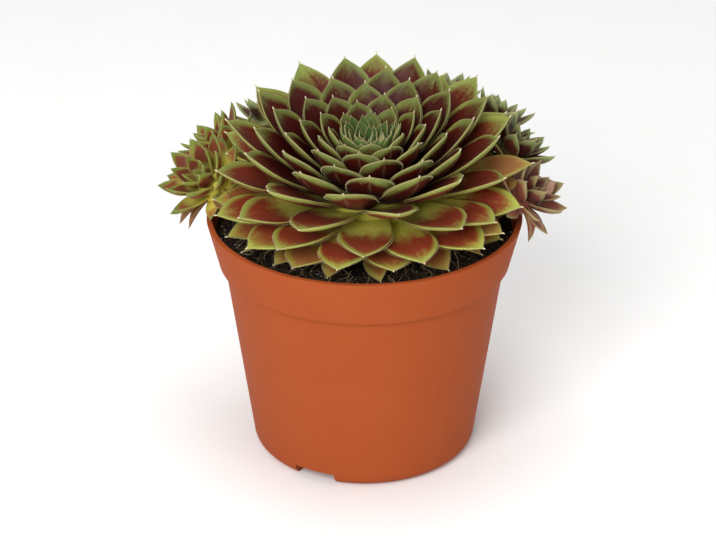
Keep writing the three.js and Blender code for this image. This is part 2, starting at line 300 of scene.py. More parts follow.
def lathe(name: str, profile: list[Point], sides: int) -> Mesh:
    """Turns a profile about the upright axis into a closed mesh.

    Args:
        name: The mesh's name.
        profile: Radius and height in millimetres, from the axis at the bottom to the axis at the top.
        sides: Number of columns.

    Returns:
        The mesh, in metres, facing out.
    """
    work = bmesh.new()
    rings = []
    for radius, height in profile:
        turns = [2 * math.pi * i / sides for i in range(sides)] if radius > ON_AXIS else [0.0]
        spots = ((radius * math.cos(turn) * MM, radius * math.sin(turn) * MM, height * MM) for turn in turns)
        rings.append([work.verts.new(spot) for spot in spots])
    for low, high in zip(rings, rings[1:]):
        for i in range(sides):
            corners = [low[i % len(low)], low[(i + 1) % len(low)], high[(i + 1) % len(high)], high[i % len(high)]]
            unique = list(dict.fromkeys(corners))
            if len(unique) > 2:
                work.faces.new(unique)
    return finished(work, name)


def arc(centre: Point, radius: float, first: float, last: float, steps: int) -> list[Point]:
    """Gives points along an arc of a profile.

    Args:
        centre: Radius and height of the arc's centre.
        radius: The arc's radius.
        first: Angle of the first point, in degrees.
        last: Angle of the last point, in degrees.
        steps: Number of stretches.

    Returns:
        Points from first to last.
    """
    angles = (math.radians(first + (last - first) * i / steps) for i in range(steps + 1))
    return [(centre[0] + radius * math.cos(a), centre[1] + radius * math.sin(a)) for a in angles]


def hand_over(piece: Object, slot: str, *nodes: str) -> None:
    """Rides a finished piece on the body and hides the solids that it stands for.

    Args:
        piece: The finished piece.
        slot: The record's material slot; not used.
        nodes: The solids that it replaces, if any.
    """
    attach(piece, "root")
    if nodes:
        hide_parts(*nodes)
    LOG.info("%s: %d faces", piece.name, len(piece.data.polygons))


# ---------------------------------------------------------------- finishes


def empty_material(name: str) -> Material:
    """Makes a node material that has no nodes yet.

    Args:
        name: The material's name.

    Returns:
        The material.
    """
    material = bpy.data.materials.new(name)
    material.use_nodes = True
    material.node_tree.nodes.clear()
    return material


@dataclass(frozen=True)
class LeafSpot:
    """What the skin's nodes know of one spot on a leaf.

    Station runs from root to tip and across from edge to edge; below is one on the underside. Age, tone and dry
    belong to the whole leaf. Edge is the distance from the margin in millimetres. Drift, comb and grain are the
    broad noise, the streaks and the pores, centred on zero.
    """

    tree: NodeTree
    station: NodeSocket
    across: NodeSocket
    below: NodeSocket
    age: NodeSocket
    tone: NodeSocket
    dry: NodeSocket
    edge: NodeSocket
    cloud: NodeSocket
    streaks: NodeSocket
    pores: NodeSocket
    drift: Node
    comb: Node
    grain: Node


@dataclass(frozen=True)
class LeafFinish:
    """Living succulent skin: a waxy, faintly downy cuticle over green flesh, flushed red by the sun.

    The eye gets a soft broad sheen, a yellow-green foot, a red middle that runs out in streaks and stops short
    of the edge, a green band round the tip, and a pale line along the margin itself.

    A pair of numbers gives the two ends of a change. Ages run from 0, the youngest leaf, to 1, the oldest.
    Stations run from 0 at a leaf's root to 1 at its tip.
    """

    name: str
    foot: str = "#bab54e"
    flush: str = "#79301c"
    deep: str = "#4b1109"
    fresh: str = "#7b8845"
    tip: str = "#8b9540"
    heart: str = "#527037"
    margin: str = "#ad9a6c"
    point: str = "#d2c8a6"
    aged: str = "#bd9450"
    withered: str = "#8a6544"

    # The surface: broad clouds and pores as they measure on a leaf, and streaks counted over a leaf.
    cloud_mm: float = 4.5
    pore_mm: float = 0.8
    streaks_across: float = 5.0
    streaks_along: float = 1.6
    streaks_apart: float = 97.0
    streak_relief: float = 0.5
    relief_mm: float = 0.25
    roughness: Span = (0.4, 0.6)

    # Where the red starts on young and old leaves, and how far noise and the leaf's own tone shift it.
    young_from: float = 0.16
    old_from: float = 0.57
    flush_ages: Span = (0.44, 0.72)
    flush_fade: Span = (-0.1, 0.12)
    drift_shift: float = 0.22
    comb_shift: float = 0.15
    grain_shift: float = 0.12
    tone_shift: float = 0.05

    # Where the green tip starts, a little lower on the underside.
    young_tip_from: float = 0.84
    old_tip_from: float = 0.87
    tip_ages: Span = (0.3, 0.85)
    tip_fade: Span = (-0.06, 0.2)
    underside_shift: float = -0.15

    # The green band along the edge: wider towards the tip and on one side, with a ragged inner border.
    young_band_mm: float = 0.85
    old_band_mm: float = 0.9
    band_ages: Span = (0.3, 0.85)
    band_stations: Span = (0.55, 0.93)
    band_widens: Span = (0.25, 1.3)
    band_lopsided: float = 0.75
    band_drift: float = 1.6
    band_grain: float = 0.9
    band_comb: float = 1.0
    band_fade: Span = (0.0, 2.8)

    # Which green and which red a leaf has by its age.
    ripe_ages: Span = (0.04, 0.2)
    green_ages: Span = (0.4, 0.85)
    green_stations: Span = (0.45, 0.85)
    red_ages: Span = (0.46, 0.78)

    # Mottle, streaks and tone, then painted shade low in the heart and painted light on outer leaves and undersides.
    least_light: float = 0.68
    mottle_light: float = 0.3
    streak_light: float = 0.34
    tone_light: float = 0.1
    # Outer leaves lighter than inner ones: partly the leaves' own colour, partly painted light on the outer ones.
    open_ages: Span = (0.42, 0.9)
    open_light: Span = (0.82, 1.38)
    # Painted shade on the feet of young leaves low in the heart, easing to painted light on the feet of old ones.
    crevice_shade: float = 0.42
    crevice_shade_ages: Span = (0.4, 0.8)
    crevice_shade_open: float = 1.08
    crevice_shade_stations: Span = (0.45, 0.88)
    # Painted light: undersides drawn lighter than upper faces.
    underside_light: float = 0.22

    # Yellowing of the oldest leaves and of those that dry, and browning after it.
    late_ages: Span = (0.88, 1.02)
    late_share: float = 0.42
    yellow_dryness: Span = (0.0, 0.5)
    yellow_share: float = 0.9
    brown_dryness: Span = (0.4, 1.0)

    # The pale margin, the keel's pale rib under the tip, and the hard point.
    rim_share: float = 0.6
    rim_from_mm: float = 0.05
    rim_ages: Span = (0.0, 0.25)
    rim_mm: Span = (0.42, 0.3)
    rib_half: float = 0.16
    rib_share: float = 0.2
    rib_stations: Span = (0.66, 0.86)
    point_stations: Span = (0.985, 1.0)

    def material(self) -> Material:
        """Builds the skin's node material.

        Returns:
            The material, which reads the leaf's own attributes.
        """
        skin = empty_material(self.name)
        tree = skin.node_tree
        spot = self.spot(tree)
        shade = self.shade(spot)
        living = self.flesh(spot)
        toned = add_node(tree, MIX, {0: 1.0, 6: living, 7: shade}, data_type="RGBA", blend_type="MULTIPLY")
        yellowed = self.yellowed(spot, toned.outputs[2])
        edged = self.edged(spot, yellowed)
        browning = add_node(tree, MAP_RANGE, (spot.dry, *self.brown_dryness))
        # How far a leaf browns follows its dryness, the mottle and the painted shade.
        parched = add_node(tree, MATH, (browning, shade), operation="MULTIPLY")
        colour = add_node(tree, MIX, {0: parched, 6: edged, 7: linear(self.withered)}, data_type="RGBA")
        relief = add_node(tree, MATH, (spot.streaks, self.streak_relief, spot.pores), operation="MULTIPLY_ADD")
        bump = add_node(tree, "ShaderNodeBump", {"Height": relief, "Strength": 0.4, "Distance": self.relief_mm * MM})
        gloss = add_node(tree, MAP_RANGE, {0: spot.cloud, 3: self.roughness[0], 4: self.roughness[1]})
        shader = add_node(
            tree,
            "ShaderNodeBsdfPrincipled",
            {
                "Base Color": colour.outputs[2],
                "Roughness": gloss,
                "IOR": 1.42,
                "Subsurface Weight": 0.08,
                "Subsurface Radius": (0.9, 0.6, 0.25),
                "Subsurface Scale": 1.0 * MM,
                "Specular IOR Level": 0.26,
                "Sheen Weight": 0.01,
                "Sheen Roughness": 0.4,
                "Normal": bump,
            },
        )
        add_node(tree, "ShaderNodeOutputMaterial", (shader,))
        return skin

    def spot(self, tree: NodeTree) -> LeafSpot:
        """Reads the leaf's attributes and lays the noises.

        Args:
            tree: The material's node tree.

        Returns:
            The sockets and nodes that the colours build on.
        """
        read = {
            name: add_node(tree, "ShaderNodeAttribute", attribute_name=name) for name in ("place", "look", "margin_mm")
        }
        station, across, below = add_node(tree, "ShaderNodeSeparateXYZ", (read["place"].outputs["Vector"],)).outputs
        age, tone, dry = add_node(tree, "ShaderNodeSeparateXYZ", (read["look"].outputs["Vector"],)).outputs
        where = add_node(tree, "ShaderNodeTexCoord").outputs["Object"]
        cloud = add_node(
            tree,
            NOISE,
            {"Vector": where, "Scale": 1 / (self.cloud_mm * MM), "Detail": 3.0, "Roughness": 0.6},
        ).outputs[0]
        pores = add_node(tree, NOISE, {"Vector": where, "Scale": 1 / (self.pore_mm * MM), "Detail": 2.0}).outputs[0]
        lane = add_node(tree, MATH, (across, self.streaks_across), operation="MULTIPLY")
        run = add_node(tree, MATH, (station, self.streaks_along), operation="MULTIPLY")
        apart = add_node(tree, MATH, (age, self.streaks_apart), operation="MULTIPLY")
        lanes = add_node(tree, "ShaderNodeCombineXYZ", (lane, run, apart))
        streaks = add_node(tree, NOISE, {"Vector": lanes, "Scale": 1.0, "Detail": 3.0}).outputs[0]
        drift, comb, grain = (
            add_node(tree, MATH, (noise, 0.5), operation="SUBTRACT") for noise in (cloud, streaks, pores)
        )
        return LeafSpot(
            tree=tree,
            station=station,
            across=across,
            below=below,
            age=age,
            tone=tone,
            dry=dry,
            edge=read["margin_mm"].outputs["Fac"],
            cloud=cloud,
            streaks=streaks,
            pores=pores,
            drift=drift,
            comb=comb,
            grain=grain,
        )

    def band(self, spot: LeafSpot) -> Node:
        """Finds how far a spot lies inside the green band along the edge.

        Args:
            spot: The spot.

        Returns:
            The node that gives 0 in the band and 1 well inside it.
        """
        tree = spot.tree
        band = add_node(tree, MAP_RANGE, (spot.age, *self.band_ages, self.young_band_mm, self.old_band_mm))
        widening = add_node(tree, MAP_RANGE, (spot.station, *self.band_stations, *self.band_widens), **SMOOTH)
        to_side = add_node(tree, MATH, (spot.across, spot.tone), operation="MULTIPLY")
        lopsided = add_node(tree, MATH, (to_side, self.band_lopsided, 1.0), operation="MULTIPLY_ADD")
        one_sided = add_node(tree, MATH, (band, lopsided), operation="MULTIPLY")
        green_mm = add_node(tree, MATH, (one_sided, widening), operation="MULTIPLY")
        ratio = add_node(tree, MATH, (spot.edge, green_mm), operation="DIVIDE")
        wavy = add_node(tree, MATH, (spot.drift, self.band_drift, ratio), operation="MULTIPLY_ADD")
        rough = add_node(tree, MATH, (spot.grain, self.band_grain, wavy), operation="MULTIPLY_ADD")
        ragged = add_node(tree, MATH, (spot.comb, self.band_comb, rough), operation="MULTIPLY_ADD")
        return add_node(tree, MAP_RANGE, (ragged, *self.band_fade), **SMOOTH)

    def middle(self, spot: LeafSpot) -> Node:
        """Finds how far a spot lies between the yellow-green foot and the green tip.

        Args:
            spot: The spot.

        Returns:
            The node that gives 1 in the leaf's middle and 0 at its ends.
        """
        tree = spot.tree
        along = spot.station
        for noise, shift in (
            (spot.drift, self.drift_shift),
            (spot.comb, self.comb_shift),
            (spot.grain, self.grain_shift),
            (spot.tone, self.tone_shift),
        ):
            along = add_node(tree, MATH, (noise, shift, along), operation="MULTIPLY_ADD")
        since = add_node(tree, MAP_RANGE, (spot.age, *self.flush_ages, self.young_from, self.old_from))
        past = add_node(tree, MATH, (along, since), operation="SUBTRACT")
        started = add_node(tree, MAP_RANGE, (past, *self.flush_fade), **SMOOTH)
        tip_from = add_node(tree, MAP_RANGE, (spot.age, *self.tip_ages, self.young_tip_from, self.old_tip_from))
        past_tip = add_node(tree, MATH, (along, tip_from), operation="SUBTRACT")
        to_tip = add_node(tree, MATH, (spot.below, self.underside_shift, past_tip), operation="MULTIPLY_ADD")
        ended = add_node(tree, MAP_RANGE, (to_tip, *self.tip_fade, 1.0, 0.0), **SMOOTH)
        return add_node(tree, MATH, (started, ended), operation="MULTIPLY")

    def flesh(self, spot: LeafSpot) -> NodeSocket:
        """Colours the living leaf: green, with the red flush over its middle.

        Args:
            spot: The spot.

        Returns:
            The colour.
        """
        tree = spot.tree
        ripe = add_node(tree, MAP_RANGE, (spot.age, *self.ripe_ages), **SMOOTH)
        reddened = add_node(tree, MATH, (self.middle(spot), self.band(spot)), operation="MULTIPLY")
        flushed = add_node(tree, MATH, (reddened, ripe), operation="MULTIPLY")
        upper = add_node(tree, MAP_RANGE, (spot.station, *self.green_stations))
        older = add_node(tree, MAP_RANGE, (spot.age, *self.green_ages))
        tip_green = add_node(tree, MIX, {0: older, 6: linear(self.fresh), 7: linear(self.tip)}, data_type="RGBA")
        grown_green = add_node(tree, MIX, {0: upper, 6: linear(self.foot), 7: tip_green.outputs[2]}, data_type="RGBA")
        green = add_node(tree, MIX, {0: ripe, 6: linear(self.heart), 7: grown_green.outputs[2]}, data_type="RGBA")
        in_sun = add_node(tree, MAP_RANGE, (spot.age, *self.red_ages), **SMOOTH)
        red = add_node(tree, MIX, {0: in_sun, 6: linear(self.deep), 7: linear(self.flush)}, data_type="RGBA")
        return add_node(tree, MIX, {0: flushed, 6: green.outputs[2], 7: red.outputs[2]}, data_type="RGBA").outputs[2]

    def shade(self, spot: LeafSpot) -> Node:
        """Works out how light or dark the flesh is: its own mottle, and painted shade and light by its place and face.

        Args:
            spot: The spot.

        Returns:
            The node that gives the factor.
        """
        tree = spot.tree
        mottled = add_node(tree, MATH, (spot.pores, self.mottle_light, self.least_light), operation="MULTIPLY_ADD")
        striped = add_node(tree, MATH, (spot.streaks, self.streak_light, mottled), operation="MULTIPLY_ADD")
        varied = add_node(tree, MATH, (spot.tone, self.tone_light, striped), operation="MULTIPLY_ADD")
        # Outer leaves lighter than inner ones, partly their own colour and partly painted light.
        age_tone_and_light = add_node(tree, MAP_RANGE, (spot.age, *self.open_ages, *self.open_light))
        # Painted shade on young leaves' feet deep in the heart, turning to painted light on old leaves' feet.
        crevice_shade = add_node(tree, MAP_RANGE, (spot.age, *self.crevice_shade_ages, self.crevice_shade, self.crevice_shade_open))
        sunk = add_node(tree, MAP_RANGE, (spot.station, *self.crevice_shade_stations, crevice_shade, 1.0), **SMOOTH)
        place_tone_and_shade = add_node(tree, MATH, (age_tone_and_light, sunk), operation="MULTIPLY")
        # Painted light: undersides lighter than upper faces.
        underside = add_node(tree, MATH, (spot.below, self.underside_light, 1.0), operation="MULTIPLY_ADD")
        tone_and_shade_by_side = add_node(tree, MATH, (place_tone_and_shade, underside), operation="MULTIPLY")
        return add_node(tree, MATH, (varied, tone_and_shade_by_side), operation="MULTIPLY")

    def yellowed(self, spot: LeafSpot, living: NodeSocket) -> NodeSocket:
        """Yellows the oldest leaves and those that dry.

        Args:
            spot: The spot.
            living: The colour before.

        Returns:
            The colour after.
        """
        tree = spot.tree
        late = add_node(tree, MAP_RANGE, (spot.age, *self.late_ages, 0.0, self.late_share), **SMOOTH)
        drying = add_node(tree, MAP_RANGE, (spot.dry, *self.yellow_dryness, 0.0, self.yellow_share))
        autumn = add_node(tree, MATH, (late, drying), operation="MAXIMUM")
        return add_node(tree, MIX, {0: autumn, 6: living, 7: linear(self.aged)}, data_type="RGBA").outputs[2]

    def edged(self, spot: LeafSpot, flesh: NodeSocket) -> NodeSocket:
        """Draws the pale margin, the rib under the tip and the hard point.

        Args:
            spot: The spot.
            flesh: The colour before.

        Returns:
            The colour after.
        """
        tree = spot.tree
        off_middle = add_node(tree, MATH, (spot.across,), operation="ABSOLUTE")
        rib = add_node(tree, MAP_RANGE, (off_middle, 0.0, self.rib_half, self.rib_share, 0.0), **SMOOTH)
        keeled = add_node(tree, MATH, (rib, spot.below), operation="MULTIPLY")
        near_tip = add_node(tree, MAP_RANGE, (spot.station, *self.rib_stations))
        ribbed = add_node(tree, MATH, (keeled, near_tip), operation="MULTIPLY")
        rim_mm = add_node(tree, MAP_RANGE, (spot.age, *self.rim_ages, *self.rim_mm))
        rim = add_node(tree, MAP_RANGE, (spot.edge, self.rim_from_mm, rim_mm, self.rim_share, 0.0), **SMOOTH)
        pale = add_node(tree, MATH, (ribbed, rim), operation="MAXIMUM")
        rimmed = add_node(tree, MIX, {0: pale, 6: flesh, 7: linear(self.margin)}, data_type="RGBA")
        hard = add_node(tree, MAP_RANGE, (spot.station, *self.point_stations), **SMOOTH)
        return add_node(tree, MIX, {0: hard, 6: rimmed.outputs[2], 7: linear(self.point)}, data_type="RGBA").outputs[2]


@dataclass(frozen=True)
class MouldedPlastic:
    """Matte injection-moulded polypropylene: an even body colour, a fine spark-eroded grain, a soft sheen.

    The real grain is finer, about a tenth of a millimetre, and is drawn as coarse as it needs to show.
    """

    name: str = "Moulded polypropylene, terracotta"
    colour: str = "#9e4a25"
    worn: str = "#a7552e"
    grain_mm: float = 0.8
    cloud_mm: float = 22.0
    cloud_contrast: Span = (0.35, 0.75)
    cloud_worn: float = 0.22
    grain_contrast: Span = (0.45, 0.8)
    grain_worn: float = 0.25
    relief_mm: float = 0.15
    roughness: Span = (0.5, 0.64)

    def material(self) -> Material:
        """Builds the plastic's node material.

        Returns:
            The material.
        """
        plastic = empty_material(self.name)
        tree = plastic.node_tree
        where = add_node(tree, "ShaderNodeTexCoord").outputs["Object"]
        grain, cloud = (
            add_node(tree, NOISE, {"Vector": where, "Scale": 1 / (size * MM), "Detail": detail})
            for size, detail in ((self.grain_mm, 4.0), (self.cloud_mm, 3.0))
        )
        patch = add_node(tree, MAP_RANGE, (cloud, *self.cloud_contrast, 0.0, self.cloud_worn))
        speck = add_node(tree, MAP_RANGE, (grain, *self.grain_contrast, 0.0, self.grain_worn))
        mask = add_node(tree, MATH, (patch, speck), operation="ADD")
        colour = add_node(tree, MIX, {0: mask, 6: linear(self.colour), 7: linear(self.worn)}, data_type="RGBA")
        gloss = add_node(tree, MAP_RANGE, {0: cloud, 3: self.roughness[0], 4: self.roughness[1]})
        bump = add_node(tree, "ShaderNodeBump", {"Height": grain, "Strength": 0.12, "Distance": self.relief_mm * MM})
        shader = add_node(
            tree,
            "ShaderNodeBsdfPrincipled",
            {
                "Base Color": colour.outputs[2],
                "Roughness": gloss,
                "IOR": 1.49,
                "Specular IOR Level": 0.06,
                "Normal": bump,
            },
        )
        add_node(tree, "ShaderNodeOutputMaterial", (shader,))
        return plastic


@dataclass(frozen=True)
class Ground:
    """Loose natural matter, peat or fibre or grit: rough, broken colour and no gloss."""

    name: str
    dark: str
    light: str
    grain_mm: float = 1.3
    rough: float = 0.95
    depth: float = 0.8
    contrast: Span = (0.35, 0.75)

    def material(self) -> Material:
        """Builds the node material.

        Returns:
            The material.
        """
        matter = empty_material(self.name)
        tree = matter.node_tree
        where = add_node(tree, "ShaderNodeTexCoord").outputs["Object"]
        clods = add_node(
            tree,
            NOISE,
            {"Vector": where, "Scale": 1 / (self.grain_mm * MM), "Detail": 6.0, "Roughness": 0.7},
        )
        mask = add_node(tree, MAP_RANGE, (clods, *self.contrast))
        colour = add_node(tree, MIX, {0: mask, 6: linear(self.dark), 7: linear(self.light)}, data_type="RGBA")
        bump = add_node(tree, "ShaderNodeBump", {"Height": clods, "Strength": 0.9, "Distance": self.depth * MM})
        shader = add_node(
            tree,
            "ShaderNodeBsdfPrincipled",
            {"Base Color": colour.outputs[2], "Roughness": self.rough, "Specular IOR Level": 0.25, "Normal": bump},
        )
        add_node(tree, "ShaderNodeOutputMaterial", (shader,))
        return matter


# The mother's skin, and the dry horny hairs along every leaf's edge, which catch the light as a fine pale fringe.
MOTHER_SKIN = LeafFinish("Sempervivum leaf, red-flushed")
DOWN = Ground("Leaf-edge down", "#a8996c", "#d8caa4", grain_mm=2.0, rough=0.8, depth=0.02)


class ChickSkin(Enum):
    """How the sun has coloured each side's chicks."""

    BRICK = LeafFinish(
        "Sempervivum leaf, yellow-green",
        foot="#bdb44c",
        flush="#8a4f2a",
        deep="#7a3a22",
        fresh="#7d8c3a",
        tip="#566e33",
        heart="#8f9440",
        margin="#958a50",
        crevice_shade=0.75,
        rim_share=0.2,
        young_from=0.4,
        old_from=0.6,
        young_band_mm=0.7,
        old_band_mm=0.5,
        young_tip_from=0.8,
        old_tip_from=0.84,
    )
    SHADED = LeafFinish(
        "Sempervivum leaf, grey-green",
        foot="#78804a",
        flush="#6a4230",
        deep="#4e3024",
        fresh="#8e9c66",
        tip="#939c66",
        heart="#6b784c",
        crevice_shade=0.6,
        rim_share=0.45,
        young_from=0.3,
        old_from=0.5,
        young_band_mm=1.5,
        old_band_mm=1.2,
    )
    BURGUNDY = LeafFinish(
        "Sempervivum leaf, burgundy",
        foot="#6c6f38",
        flush="#5e2a22",
        deep="#4a1e1a",
        fresh="#748250",
        tip="#74804c",
        heart="#5f6d42",
        crevice_shade=0.6,
        rim_share=0.4,
        old_from=0.4,
        young_band_mm=1.1,
        old_band_mm=0.8,
    )
    ROSY = LeafFinish(
        "Sempervivum leaf, rosy",
        foot="#8a704e",
        flush="#85493a",
        deep="#6e3a32",
        fresh="#8a7c50",
        tip="#8a7c50",
        heart="#87714e",
        crevice_shade=0.7,
        rim_share=0.35,
        withered="#8f6c5c",
        old_from=0.3,
        young_band_mm=0.9,
        old_band_mm=0.7,
        aged="#a3806a",
    )


# ---------------------------------------------------------------- leaves


@dataclass(frozen=True)
class LeafRows:
    """How a rosette's leaves change from the youngest at its heart to the oldest.

    Bend is in degrees, and cup is how far the edges rise, as a share of the half width.
    """

    tip_radius: tuple[float, ...]
    tip_height: tuple[float, ...]
    base_radius: tuple[float, ...]
    base_height: tuple[float, ...]
    bend: tuple[float, ...]
    width: tuple[float, ...]
    thickness: tuple[float, ...]
    cup: tuple[float, ...]


MOTHER_ROWS = LeafRows(
    tip_radius=(2.4, 8.7, 16.1, 24.1, 32, 40.1, 47.3, 52.6, 55, 54.1, 51.3),
    tip_height=(29.6, 32.8, 34.7, 35.9, 36.7, 36.8, 33.4, 21.9, 15.8, 11.9, 8.9),
    base_radius=(1, 2.2, 3.2, 4.1, 4.9, 5.6, 6.1, 6.5, 6.8, 7, 7.2),
    base_height=(18, 16.6, 15, 13.2, 11.4, 9.6, 7.8, 5.8, 3.8, 1.9, 0.2),
    bend=(3, 9, 14, 18, 20, 18, 9, -2, -6, -7, -6),
    width=(2.6, 6, 10.5, 13, 14.8, 15.8, 16.4, 17, 17.4, 17.4, 17),
    thickness=(0.9, 1.2, 1.5, 1.7, 1.9, 2, 2.1, 2.1, 2, 1.9, 1.8),
    cup=(0.3, 0.3, 0.3, 0.28, 0.26, 0.24, 0.2, 0.15, 0.11, 0.08, 0.06),
)
CHICK_ROWS = LeafRows(
    tip_radius=(1.6, 5, 9, 13, 16.5, 19.2, 20, 18.5),
    tip_height=(12, 15.5, 17.5, 18, 16.5, 12, 5, -2),
    base_radius=(0.5, 1, 1.5, 1.9, 2.2, 2.5, 2.7, 2.8),
    base_height=(5.5, 5, 4.4, 3.7, 2.8, 1.7, 0.6, -0.6),
    bend=(5, 9, 13, 16, 15, 10, 4, -5),
    width=(2.6, 4.4, 6.2, 7.6, 8.6, 9, 8.8, 8.2),
    thickness=(1, 1.15, 1.3, 1.5, 1.6, 1.5, 1.4, 1.3),
    cup=(0.3, 0.28, 0.26, 0.22, 0.18, 0.14, 0.12, 0.1),
)
CHICK_ROWS_RADIUS = 20.0


@dataclass(frozen=True)
class LeafOutline:
    """A leaf's outline, in shares of its length and width: a waisted foot, shoulders and a drawn-out point."""

    root_station: float
    widest: float
    foot_width: float
    foot_curve: float
    shoulder: float

    def width_share(self, station: float) -> float:
        """Gives the share of the full width at a share of the way from root to tip."""
        if station < self.widest:
            return 1 - (1 - self.foot_width) * ((self.widest - station) / self.widest) ** self.foot_curve
        return 1 - ((station - self.widest) / (1 - self.widest)) ** self.shoulder

    def fuller(self) -> "LeafOutline":
        """Gives the living leaf's outline, whose shoulders are rounder than the faceted solid's."""
        return replace(self, shoulder=1.35 * self.shoulder)


MOTHER_OUTLINE = LeafOutline(root_station=0.3, widest=0.7, foot_width=0.5, foot_curve=1.8, shoulder=1.5)
CHICK_OUTLINE = LeafOutline(root_station=0.2, widest=0.5, foot_width=0.66, foot_curve=1.8, shoulder=1.25)


@dataclass
class LeafPlan:
    """One leaf's place and size, in millimetres and radians, in the rosette's own upright frame."""

    turn: float
    roll: float
    base: Point
    tip: Point
    bend: float
    cup: float
    width: float
    thickness: float
    outline: LeafOutline
    age: float
    dryness: float = 0.0

    def arc_point(self, length: float, station: float) -> tuple[float, float, float]:
        """Finds a point on the leaf's middle line, an arc in an upright plane.

        Args:
            length: Share of its full length that the leaf has grown.
            station: Share of the way from root to tip.

        Returns:
            Radius, height and heading there.
        """
        reach = ((self.tip[0] - self.base[0]) * length, (self.tip[1] - self.base[1]) * length)
        first = math.atan2(reach[1], reach[0]) - self.bend
        heading = first + 2 * self.bend * station
        bow = math.hypot(*reach) / (2 * math.sin(self.bend))
        radius = self.base[0] + bow * (math.sin(heading) - math.sin(first))
        return radius, self.base[1] + bow * (math.cos(first) - math.cos(heading)), heading

    def skin_point(self, length: float, station: float, across: float, below: float) -> Vector:
        """Finds a corner of the leaf's faceted solid.

        Args:
            length: Share of its full length that the leaf has grown.
            station: Share of the way from root to tip.
            across: Share of the half width, to either side.
            below: Share of the thickness under the upper face.

        Returns:
            The point in the rosette's own frame.
        """
        half = self.width / 2 * length * self.outline.width_share(station)
        lift = self.cup * half * across * across - self.thickness * math.sqrt(1 - station**4) * below
        radius, height, heading = self.arc_point(length, station)
        roll = self.roll * station
        side = across * half * math.cos(roll) - lift * math.sin(roll)
        rise = across * half * math.sin(roll) + lift * math.cos(roll)
        outward = radius - rise * math.sin(heading)
        x = outward * math.cos(self.turn) - side * math.sin(self.turn)
        y = outward * math.sin(self.turn) + side * math.cos(self.turn)
        return Vector((x, y, height + rise * math.cos(heading)))


class LeafForm(Enum):
    """The faceted solid's leaf sections: narrowest width, the sections' corners, and the free rings' places."""

    SMALL = (0.0, ((1.0, 0.0), (-1.0, 0.0), (0.0, 1.0)), (0.58,))
    MIDDLE = (7.2, ((1.0, 0.0), (-1.0, 0.0), (0.0, 1.0)), (0.5, 0.85))
    LARGE = (10.0, ((0.5, 0.866), (1.0, 0.0), (-1.0, 0.0), (-0.5, 0.866)), (0.5, 0.83))

    @classmethod
    def of(cls, width: float) -> "LeafForm":
        """Picks the form that a leaf of this width has."""
        return [form for form in cls if width >= form.value[0]][-1]


